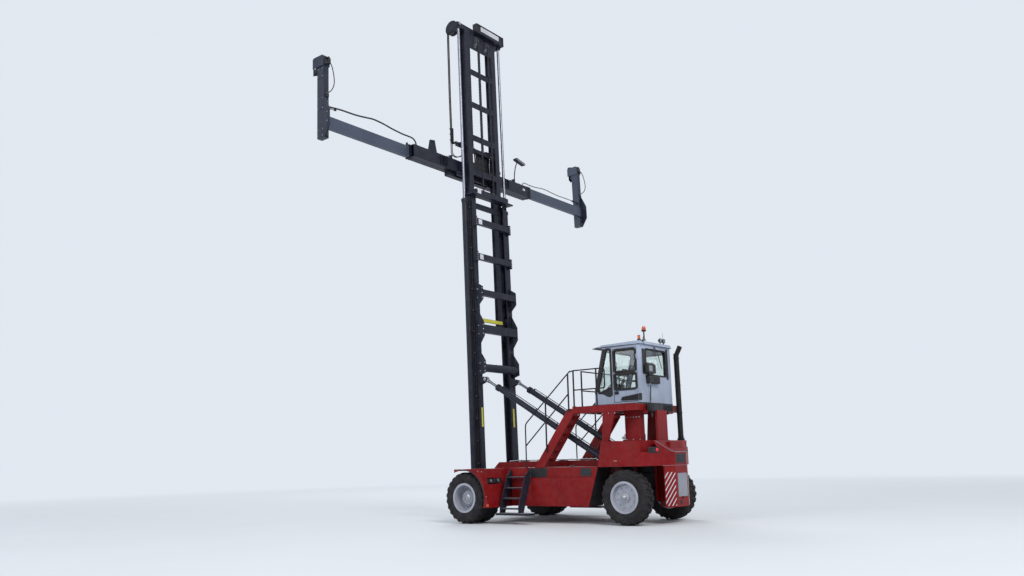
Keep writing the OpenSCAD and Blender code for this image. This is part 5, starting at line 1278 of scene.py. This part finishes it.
# Arms, end posts and heads
for name, g, x in (("left", 1, 1020), ("right", -1, 850)):
    body = "arm_" + name
    out = g * (POST_Y + 80)
    dark = Piece("head_fittings_" + name, body, "black_plastic", mast_spot)
    steel = Piece("head_pins_" + name, body, "steel", mast_spot)
    frame_work = Piece("post_trim_" + name, body, "slate_paint", mast_spot)
    # Doubler plates and ribs on the post and the flare
    for z0, z1 in ((9870, 10120), (10620, 10980), (11500, 11800)):
        frame_work.slab((905, z0, 1135, z1), 22, "y", out + g * 0.5, out + g * 7)
    frame_work.prism([(720, 10200), (880, 9980), (880, 10760), (720, 10540)], "y", out + g * 0.5, out + g * 6)
    frame_work.prism([(700, 10190), (885, 9880), (892, 9886), (710, 10195)], "y", out - g * 60, out - g * 28)
    frame_work.prism([(700, 10550), (885, 10985), (892, 10980), (710, 10545)], "y", out - g * 60, out - g * 28)
    for z in (10700, 11200, 11700):
        frame_work.box((884, g * (POST_Y - 70), z), (891, g * (POST_Y + 70), z + 60))
    for s in (-60, 30):
        frame_work.prism([(1149, 11640), (1240, 11832), (1149, 11832)], "y", g * (POST_Y + s), g * (POST_Y + s + 20))
    frame_work.done(bevel=3)
    # Lock housing, its lever and the sensors
    steel.turned((LOCK_X, g * LOCK_Y, 11828), (0, 0, -1), [(46.5, 0), (59, 0), (59, 14), (46.5, 14)], 32, close=True)
    steel.bolt_ring((LOCK_X, g * LOCK_Y, 12131), (0, 0, 1), 46, 8, 9, 10)
    steel.turned((LOCK_X, g * LOCK_Y, 12130), (0, 0, 1), [(34, 0), (34, 12), (24, 18), (0.5, 18)], 28)
    steel.bolts([(898, g * (POST_Y + s * 80), z) for s in (-1, 1) for z in (11880, 12080)], (-1, 0, 0), 13, 10)
    steel.bolts([(a, out, z) for a in (930, 1110) for z in (9900, 10090, 10660, 10940, 11540, 11760)],
                (0, g, 0), 12, 8)
    steel.bolts([(760, out, z) for z in (10260, 10500)], (0, g, 0), 13, 8)
    steel.done(bevel=1.5)
    dark.slab((g * (POST_Y - 95), 11890, g * (POST_Y - 10), 12050), 14, "x", 820, 884, 2)
    dark.slab((g * (POST_Y + 5), 11860, g * (POST_Y + 80), 11990), 14, "x", 840, 884, 2)
    dark.turned((846, g * (POST_Y - 50), 12070), (-1, 0, 0), [(34, -36), (34, 10), (24, 16), (24, 0)], 20)
    dark.turned((884, g * (POST_Y + 20), 12060), (-1, 0, 0), [(20, 0), (20, 34), (12, 40), (0.5, 40)], 16)
    dark.slab((1180, 12131, 1290, 12170), 10, "y", g * (POST_Y - 90), g * (POST_Y - 20), 2)
    dark.slab((g * (POST_Y - 60), 10960, g * (POST_Y + 40), 11060), 12, "x", 850, 891, 2)
    dark.slab((g * (POST_Y - 50), 9880, g * (POST_Y + 30), 9990), 12, "x", 856, 891, 2)
    dark.slab((g * (POST_Y - 60), 10060, g * (POST_Y - 10), 10140), 12, "x", 846, 891, 2)
    dark.done(bevel=3)
    guide = Piece("corner_guide_" + name, body, "black_paint", mast_spot)
    guide.prism([(1180, 11700), (1296, 11640), (1299, 11832), (1180, 11832)], "y", out - g * 2, out + g * 9)
    guide.prism([(g * (POST_Y + s), z) for s, z in ((92, 11640), (-40, 11700), (-40, 11832), (92, 11832))],
                "x", 1287, 1299)
    guide.done(bevel=2)
    route = ((870, 20, 11930), (810, 22, 11915), (748, 26, 11860), (700, 28, 11760), (658, 30, 11620),
             (626, 30, 11460), (612, 30, 11330), (628, 28, 11215), (680, 24, 11130), (760, 20, 11085),
             (830, 17, 11075), (880, 16, 11075))
    hose("head_hose_" + name, body, [(a, g * (POST_Y - s), z) for a, s, z in route], 13, mast_spot)

# A hose on a bracket from each end post along the top of the arm to the middle frame
for side, g, x, z0, r in (("left", 1, 1046, 10800, 22), ("right", -1, 950, 10725, 13)):
    clips = Piece("arm_clips_" + side, "arm_" + side, "black_paint", mast_spot)
    low = z0 - r - 12
    clips.box((x - 14, g * 5470, low), (x + 14, g * 5866, low + 10))
    foot = low - (60 if g > 0 else 30)
    clips.prism([(g * 5866, foot), (g * 5866, low + 4), (g * 5700, low + 4)], "x", x - 5, x + 5)
    for y in (5490, 5800):
        clips.slab((g * y, low, g * (y + 34), z0 + r + 16), 8, "x", x - r - 10, x + r + 10, 2)
    clips.done(bevel=2)
hose("arm_hose_left", "spreader", [(1046, 5864, 10800), (1046, 5721, 10808), (1046, 5307, 10850), (1046, 4789, 10870),
                                   (1046, 4400, 10915), (1046, 4156, 10945), (1048, 3900, 10938), (1056, 3700, 10925),
                                   (1072, 3400, 10895), (1094, 3000, 10875), (1108, 2750, 10880), (1112, 2585, 10880),
                                   (1112, 2485, 10853), (1112, 2412, 10780), (1112, 2385, 10680), (1112, 2385, 10620),
                                   (1112, 2385, 10558)], 22, mast_spot,
     cross=("arm_left", "spreader", (1046, 3880, 10900), (1046, 2600, 10900)))
hose("arm_hose_right", "spreader", [(950, -5864, 10725), (950, -5600, 10735), (950, -5000, 10728), (950, -4583, 10722),
                                    (950, -4200, 10740), (948, -3900, 10760), (944, -3600, 10752), (936, -3300, 10710),
                                    (924, -2900, 10688), (916, -2700, 10693), (913, -2573, 10690), (912, -2528, 10681),
                                    (912, -2490, 10655), (912, -2464, 10617), (912, -2455, 10572), (912, -2455, 10558)],
     13, mast_spot,
     cross=("arm_right", "spreader", (950, -3880, 10700), (950, -2600, 10700)))
for name, g in (("left", 1), ("right", -1)):
    lever = Piece("lock_lever_" + name, "lock_" + name, "steel", mast_spot)
    lever.prism([(1203, 11780), (1225, 11768), (1247, 11780), (1244, 11800), (1206, 11800)],
                "y", g * LOCK_Y - 18, g * LOCK_Y + 18)
    lever.done(bevel=4)

# ---------------------------------------------------------------- truck body
FACET = (Vector((-4900, 1220)), Vector((-5300, 300)))
FACET_OUT = (-0.917, 0.399)
HULL_Y, PLATFORM_Z = 1219.5, 2900


def on_facet(t, z, out, g):
    """A point on the slanted rear facet: share of its length, height, distance out of it and side."""
    a, b = FACET
    d = (b - a).normalized()
    p = a + (b - a) * t + Vector((-abs(d.y), abs(d.x))) * out
    return p.x, g * p.y, z


def facet_plate(piece, outline, t0, out, g):
    """A flat outline in (distance along the facet in mm, height) laid on the facet."""
    length = (FACET[1] - FACET[0]).length
    piece.rings([[on_facet(t0 + u / length, z, h, g) for u, z in outline] for h in (0.3, out)])


def clip(poly, axis, limit, keep_low):
    """The part of a polygon on one side of a line."""
    out = []
    for i, p in enumerate(poly):
        q = poly[(i + 1) % len(poly)]
        p_in = (p[axis] <= limit) == keep_low or p[axis] == limit
        q_in = (q[axis] <= limit) == keep_low or q[axis] == limit
        if p_in:
            out.append(p)
        if p_in != q_in:
            k = (limit - p[axis]) / (q[axis] - p[axis])
            out.append((p[0] + (q[0] - p[0]) * k, p[1] + (q[1] - p[1]) * k))
    return out


def bands(w, z0, z1, pitch, wide, slope=1.25):
    """Slanted bands across a panel."""
    found = []
    z = z0 - w * slope
    while z < z1:
        poly = [(0, z), (w, z + w * slope), (w, z + w * slope + wide), (0, z + wide)]
        poly = clip(clip(poly, 1, z1, True), 1, z0, False)
        if len(poly) > 2:
            found.append(poly)
        z += pitch
    return found


for side, g in (("left", 1), ("right", -1)):
    panel = Piece("stripe_panel_" + side, "chassis", "red_stripe")
    facet_plate(panel, rounded(rect(0, 424, 345, 1240), 12, 3), 0.645, 3, g)
    panel.done(bevel=1)
    stripes = Piece("stripes_" + side, "chassis", "white_plate")
    for poly in bands(325, 434, 1230, 150, 40):
        facet_plate(stripes, [(u + 10, z) for u, z in poly], 0.645, 4.2, g)
    stripes.done()
    recess = Piece("tail_lamp_recess_" + side, "chassis", "black_plastic")
    outer = rounded(rect(0, 1695, 350, 1840), 50, 5)
    facet_plate(recess, outer, 0.20, 3, g)
    facet_plate(recess, rounded(rect(14, 1709, 336, 1826), 40, 5), 0.20, 8, g)
    recess.done(bevel=2)
    glow = Piece("tail_lamp_" + side, "chassis", "red_lens")
    away = (FACET_OUT[0], g * FACET_OUT[1], 0)
    glow.turned(on_facet(0.459, 1770, 6, g), away, [(44, 0), (43, 10), (30, 18), (0.5, 21)], 28)
    glow.done()
    smoke = Piece("tail_lens_" + side, "chassis", "seal_rubber")
    facet_plate(smoke, rounded(rect(40, 1722, 170, 1812), 22, 4), 0.20, 13, g)
    smoke.turned(on_facet(0.459, 1770, 7, g), away, [(52, 0), (52, 14), (45, 14), (45, 0)], 28, close=True)
    smoke.done(bevel=1.5)
    # Painted highlights: pale lines along the ledge, the diagonal edge down to it and the deck edge
    trim = Piece("painted_highlight_edges_" + side, "chassis", "grey_plate")
    for start, end, w in (((0.885, 1742), (0.998, 1723), 6), ((0.42, 1986), (0.885, 1742), 5),
                          ((0.6, 1391), (0.998, 1391), 3)):
        trim.rings([[on_facet(t, z + s * w, h, g) for s, h in ((-1, 4), (1, 4), (1, 0.2), (-1, 0.2))]
                    for t, z in (start, end)])
    trim.done()
shape = [(-5040, 1999), (-5068, 1990), (-5254, 1742), (-5262, 1716), (-5120, 1716)]
slope = Piece("hull_slope", "chassis", "red_paint")
slope.rings([[(x, g * (1220 - (-4900 - x) * 2.3), z) for x, z in shape] for g in (1, -1)])
slope.done(bevel=3)
plate = Piece("blank_rear_plate", "chassis", "grey_plate")
plate.slab((-272, 640, 212, 1200), 22, "x", -5304, -5299.5)
plate.bolts([(-5304, y, z) for y in (-240, 180) for z in (670, 1170)], (-1, 0, 0), 6, 4)
plate.done(bevel=1.5)
rear = Piece("rear_trim", "chassis", "black_plastic")
rear.slab((15, 455, 120, 555), 14, "x", -5308, -5299)
rear.slab((-255, 1440, 255, 1665), 24, "x", -5303, -5299)
for k in range(8):
    rear.box((-5306, -235, 1458 + 25 * k), (-5299, 235, 1466 + 25 * k), Matrix.Rotation(-0.5, 3, "Y"))
rear.turned((-5270, 0, 600), (0, 0, 1), [(16, -160), (16, 150)], 16)
rear.turned((-5270, 0, 748), (0, 0, 1), [(30, 0), (30, 12), (16, 20), (0.5, 21)], 20)
rear.done(bevel=2)
# Painted highlights: pale lines along the ledge and the deck edge on the rear face
strip = Piece("ledge_painted_highlights", "chassis", "grey_plate")
strip.box((-5302.5, -300, 1709), (-5299.8, 300, 1723))
strip.box((-5302.5, -300, 1388), (-5299.8, 300, 1394))
strip.done()

# Hull side: cover panels, small lamp, slot and louvres, deck covers and caps
hull = Piece("hull_panels", "chassis", "red_paint")
for g in (1, -1):
    for outline in ([(-3720, 1450), (-3795, 1930), (-4190, 1930), (-4190, 1450)],
                    [(-4215, 1450), (-4215, 1930), (-4850, 1930), (-4850, 1450)]):
        hull.prism(rounded(outline, 22), "y", g * HULL_Y, g * 1224)
    for outline in (rect(-1640, 470, -2400, 1085), [(-2440, 470), (-2440, 1085), (-3440, 1085), (-3270, 470)]):
        hull.prism(rounded(outline, 20), "y", g * HULL_Y, g * 1224)
for x0, x1 in ((-4700, -4480), (-4160, -3830)):
    hull.slab((x0, -520, x1, 520), 24, "z", 1999, 2010)
for g in (1, -1):
    hull.slab((-4150, g * 800, -3850, g * 1150), 20, "z", 1999, 2008)
hull.done(bevel=2)
small = Piece("hull_fittings", "chassis", "black_plastic")
for g in (1, -1):
    small.slab((-4230, 1500, -4110, 1552), 14, "y", g * 1219, g * 1231)
    # Band: dark slot at the rear and louvres at the front, blank between
    small.slab((-3425, 1168, -3085, 1372), 60, "y", g * 1159.5, g * 1166, 6)
    small.prism(rounded([(-1490, 1150), (-1490, 1385), (-2096, 1385), (-2050, 1150)], 14), "y", g * 1159.5, g * 1165)
    for k in range(8):
        small.box((-1510, g * 1164, 1168 + 27 * k), (-2040, g * 1174, 1176 + 27 * k), Matrix.Rotation(g * 0.5, 3, "X"))
    small.turned((-2700, g * 900, 1400), (0, 0, 1), [(62, 0), (62, 26), (54, 34), (0.5, 36)], 28)
    small.turned((-2700, g * 900, 1434), (0, 0, 1), [(20, 0), (20, 18), (0.5, 20)], 6)
    small.turned((-4400, g * 1120, 2000), (0, 0, 1), [(48, 0), (48, 22), (40, 30), (0.5, 32)], 24)
small.done(bevel=2)
lit = Piece("side_lamps", "chassis", "orange_lens")
for g in (1, -1):
    lit.slab((-4218, 1510, -4122, 1542), 10, "y", g * 1230, g * 1238)
    lit.slab((-870, 455, -800, 510), 10, "y", g * 2099, g * 2107)
lit.done(bevel=2)
bolts = Piece("body_bolts", "chassis", "steel")
for g in (1, -1):
    bolts.bolts([(x, g * 701, 2585) for x in (-4590, -4510, -4430, -4350, -4270, -4210)], (0, g, 0), 12, 10)
    bolts.bolts([(x, g * 701, 2040) for x in (-4590, -4400, -4210)], (0, g, 0), 12, 10)
    bolts.bolts([(-4190 + 60 * k, g * 1181, 2690) for k in range(0, 20, 3)], (0, g, 0), 11, 9)
    fender = ((-650, 1330), (-520, 1345), (0, 1385), (200, 1385), (270, 1200), (-800, 700))
    bolts.bolts([(x, g * 2101, z) for x, z in fender], (0, g, 0), 10, 8)
    bolts.bolts([(-1560, g * 1222, z) for z in (1180, 1300)], (0, g, 0), 12, 9)
    bolts.turned((345, g * 560.5, 760), (0, g, 0), [(60, -2), (60, 3), (46, 4), (46, -2)], 28, close=True)
    bolts.turned((-3560, g * 828, 1560), (0, g, 0), [(62, 0), (62, 14), (40, 18), (0.5, 18)], 28)
    bolts.bolt_ring((-3560, g * 844, 1560), (0, g, 0), 40, 3, 8, 7)
bolts.done(bevel=1)

# Fender slot with its two lamps, trim round the arch
pod = Piece("fender_lamp_pods", "chassis", "black_plastic")
glow = Piece("fender_lamp_lenses", "chassis", "clear_lens")
edge = Piece("arch_trim", "chassis", "black_plastic")
for g in (1, -1):
    pod.prism([(-672, 1030), (-640, 1142), (-628, 1142), (-660, 1030)], "y", g * 1200, g * 1990)
    for y in (1440, 1750):
        at = Vector((-652, g * y, 1088))
        d = Vector((-0.961, 0, 0.275))
        pod.turned(at, d, [(50, 0), (50, 26), (44, 30), (44, 18)], 28)
        glow.turned(at + d * 20, d, [(43, 0), (42, 4), (28, 8), (0.5, 10)], 28)
    ring = []
    for k in range(29):
        a = math.radians(203 - 203 * k / 28)
        x, z = 720 * math.cos(a), TYRE_R + 720 * math.sin(a)
        if 470 < z < 1374 and x < 298:
            ring.append((x, g * 2100, z))
    edge.tube(ring, 12, 8, smooth=False)
pod.done(bevel=2)
glow.done()
edge.done(smooth=60)

# Grip plates on treads, platform and stairs
grip = Piece("grip_plates", "chassis", "grip_plate")
for g in (1, -1):
    for i, z in enumerate((365, 615, 875, 1145)):
        y = 1250 + (3 - i) * 105
        grip.box((-1545, g * (y + 8), z + 30), (-995, g * (y + 182), z + 34))
    grip.box((-1940, g * 1575, 275), (-900, g * 1855, 279))
    grip.box((-4740, g * 800, PLATFORM_Z), (-3395, g * 1130, PLATFORM_Z + 4))
    for i in range(1, 7):
        t = i / 7
        x, z = -1800 - 1080 * t, 1400 + 1460 * t
        grip.box((x - 112, g * 868, z + 25), (x + 82, g * 1142, z + 29))
    grip.box((-3050, g * 590, 1400.5), (-1000, g * 1120, 1404))
grip.box((-3385, -1130, PLATFORM_Z), (-2965, 1130, PLATFORM_Z + 4))
grip.done()

# Guard rails of the platform and the stairs
rails = Piece("guard_rails", "chassis", "black_paint")
POST, RAIL, TOP, MID = 21, 17, 3830, 3330
for g in (1, -1):
    y = g * 1140
    for x in (-2970.3, -3660):
        rails.rod((x, y, PLATFORM_Z), (x, y, TOP), POST, 12)
        rails.slab((x - 42, y - 42, x + 42, y + 42), 10, "z", PLATFORM_Z - 0.2, PLATFORM_Z + 11)
        rails.bolts([(x + a, y + b, PLATFORM_Z + 11) for a in (-28, 28) for b in (-28, 28)], (0, 0, 1), 8, 7)
    rails.rod((-2970.3, g * 760, PLATFORM_Z), (-2970.3, g * 760, TOP), POST, 12)
    rails.slab((-3012, g * 760 - 42, -2929, g * 760 + 42), 10, "z", PLATFORM_Z - 0.2, PLATFORM_Z + 11)
    hoop = ((-2970, TOP), (-3400, TOP), (-3800, TOP), (-3868, TOP - 8), (-3905, TOP - 60), (-3905, 3600),
            (-3905, MID + 55), (-3868, MID + 8), (-3800, MID), (-3400, MID), (-2970, MID))
    rails.tube([(x, y, z) for x, z in hoop], RAIL, 10)
    ys = g * 1201.3
    rails.tube([(-2970, g * 1145, TOP), (-2905, g * 1190, 3800), (-2840, ys, 3760), (-2110, ys, 3119),
                (-1560, ys, 2636), (-1470, ys, 2548), (-1440, ys, 2450), (-1440, ys, 2000), (-1440, ys, 1400)],
               RAIL, 10)
    rails.tube([(-2840, ys, 3240), (-2110, ys, 2574), (-1440, ys, 1963)], RAIL, 10)
    rails.rod((-2840, ys, 2800), (-2840, ys, 3760), POST, 12)
    rails.rod((-2110, ys, 1780), (-2110, ys, 3119), POST, 12)
    rails.slab((-1485, ys - 18, -1395, ys + 16), 8, "z", 1399.8, 1410)
for z in (TOP, MID):
    rails.rod((-2970.3, -760, z), (-2970.3, 760, z), RAIL, 12)
rails.done(smooth=50, replaces=["handrails"])

# Dark spine behind the steer wheels, between the counterweight and the bolster, and black sheets painted as shade in
# the wells
well = Piece("spine_and_shade_liners", "chassis", "black_paint")
well.prism([(-4762, 812), (-4762, 1391), (-3655, 1391), (-3655, 812)], "y", -52, 52)
well.box((-4700, -52, 700), (-4640, 52, 812))
well.tube([(-4700, 0, 1200), (-4400, 60, 1210), (-4130, 60, 1200), (-3700, 60, 1180)], 12, 8)
for g in (1, -1):
    # Painted shade: black sheets on each slanted tank face towards the steer tyre, and under the hull
    well.rings([[(x, g * y, z) for x, z in ((-3346, 436), (-3351, 436), (-3653, 1386), (-3648, 1386))]
                for y in (585, 1212)])
    well.box((-3655, g * 70, 1384), (-4895, g * 1212, 1390.5))
well.done(bevel=2)

# Behind and under the cab: cooler box, valve, pipes to the mast
box = Piece("cooler_box", "chassis", "black_plastic")
box.slab((-400, 2705, 640, 2893), 22, "x", -4965, -4783)
for k in range(9):
    box.box((-4976, -370 + 54 * k, 2730), (-4964, -346 + 54 * k, 2868), Matrix.Rotation(0.4, 3, "Z"))
box.slab((150, 2725, 600, 2875), 16, "x", -4972, -4964)
box.turned((-4880, 560, 2705), (0, 0, -1), [(34, 0), (34, 90), (22, 96), (22, 140)], 20)
box.turned((-4880, -250, 2705), (0, 0, -1), [(24, 0), (24, 60)], 16)
box.done(bevel=3)
valve = Piece("main_valve", "chassis", "steel")
valve.slab((-4180, -330, -3920, 330), 20, "z", 2011, 2190, 2)
for k in range(6):
    y = -275 + 110 * k
    valve.turned((-3920, y, 2100), (1, 0, 0), [(34, 0), (34, 60), (24, 66), (24, 90), (0.5, 92)], 18)
    for x in (-4100, -3990):
        valve.turned((x, y, 2190), (0, 0, 1), [(24, 0), (24, 26), (17, 30), (17, 44)], 14)
valve.done(bevel=2.5)
lines = Piece("deck_pipes", "chassis", "steel")
for k in range(4):
    y = -165 + 110 * k
    lines.tube([(-3590, y, 1562), (-3500, y, 1585), (-3300, y, 1590), (-900, y, 1590), (-400, y, 1592),
                (-80, y, 1575)], 15, 10)
for x in (-3200, -2500, -1800, -1100, -500):
    lines.box((x, -210, 1560), (x + 46, 210, 1578))
lines.done(smooth=50)

# Tilt cylinders: glands, ports and pipes
TILT_UNIT = Vector((0.8554, 0, 0.5181))
TILT_UP = Vector((-0.5181, 0, 0.8554))
for side, g in (("left", 1), ("right", -1)):
    base = Vector((-3560, g * 733, 1560))
    body = "tilt_barrel_" + side

    def along(s, up=0.0):
        """A point on the cylinder's line, and a distance up from it."""
        return base + TILT_UNIT * s + TILT_UP * up

    gland = Piece("tilt_gland_" + side, body, "charcoal_paint")
    gland.turned(along(3890), TILT_UNIT, [(81, 0), (96, 4), (96, 92), (84, 106), (44, 112), (44, 60), (81, 60)], 36,
                 close=True)
    gland.bolt_ring(along(3998), TILT_UNIT, 66, 8, 9, 10)
    gland.turned(along(110), TILT_UNIT, [(81, 0), (92, 6), (92, 60), (81, 66)], 36, close=True)
    for s in (230, 3800):
        gland.turned(along(s, 60), TILT_UP, [(26, 0), (26, 42), (20, 46), (20, 60)], 18)
    gland.tube([along(s, up) for s, up in ((3800, 116), (3740, 122), (3600, 118), (2000, 114), (420, 118),
                                           (330, 126))], 11, 10)
    for s in (900, 1700, 2500, 3300):
        gland.turned(along(s), TILT_UNIT, [(81, 0), (86, 2), (86, 28), (81, 30)], 36, close=True)
        gland.box(along(s + 15, 84) - Vector((14, 14, 14)), along(s + 15, 126) + Vector((14, 14, 4)))
    gland.done(bevel=0, smooth=40)
    pin = Piece("tilt_eye_" + side, "tilt_rod_" + side, "steel")
    pin.turned(along(4330), TILT_UNIT, [(39, 0), (52, 6), (52, 60), (39, 66)], 28, close=True)
    pin.bolt(along(4465, 70), TILT_UP, 9, 10)
    pin.done(bevel=1)

# Exhaust: clamps and their brackets
stack = Piece("stack_trim", "chassis", "black_paint")
for z in (2080, 2700, 3400, 4120):
    stack.turned((-4885, -900, z), (0, 0, 1), [(71, 0), (78, 2), (78, 30), (71, 32)], 36, close=True)
    stack.box((-4900, -815, z + 4), (-4870, -790, z + 28))
stack.done(smooth=40)
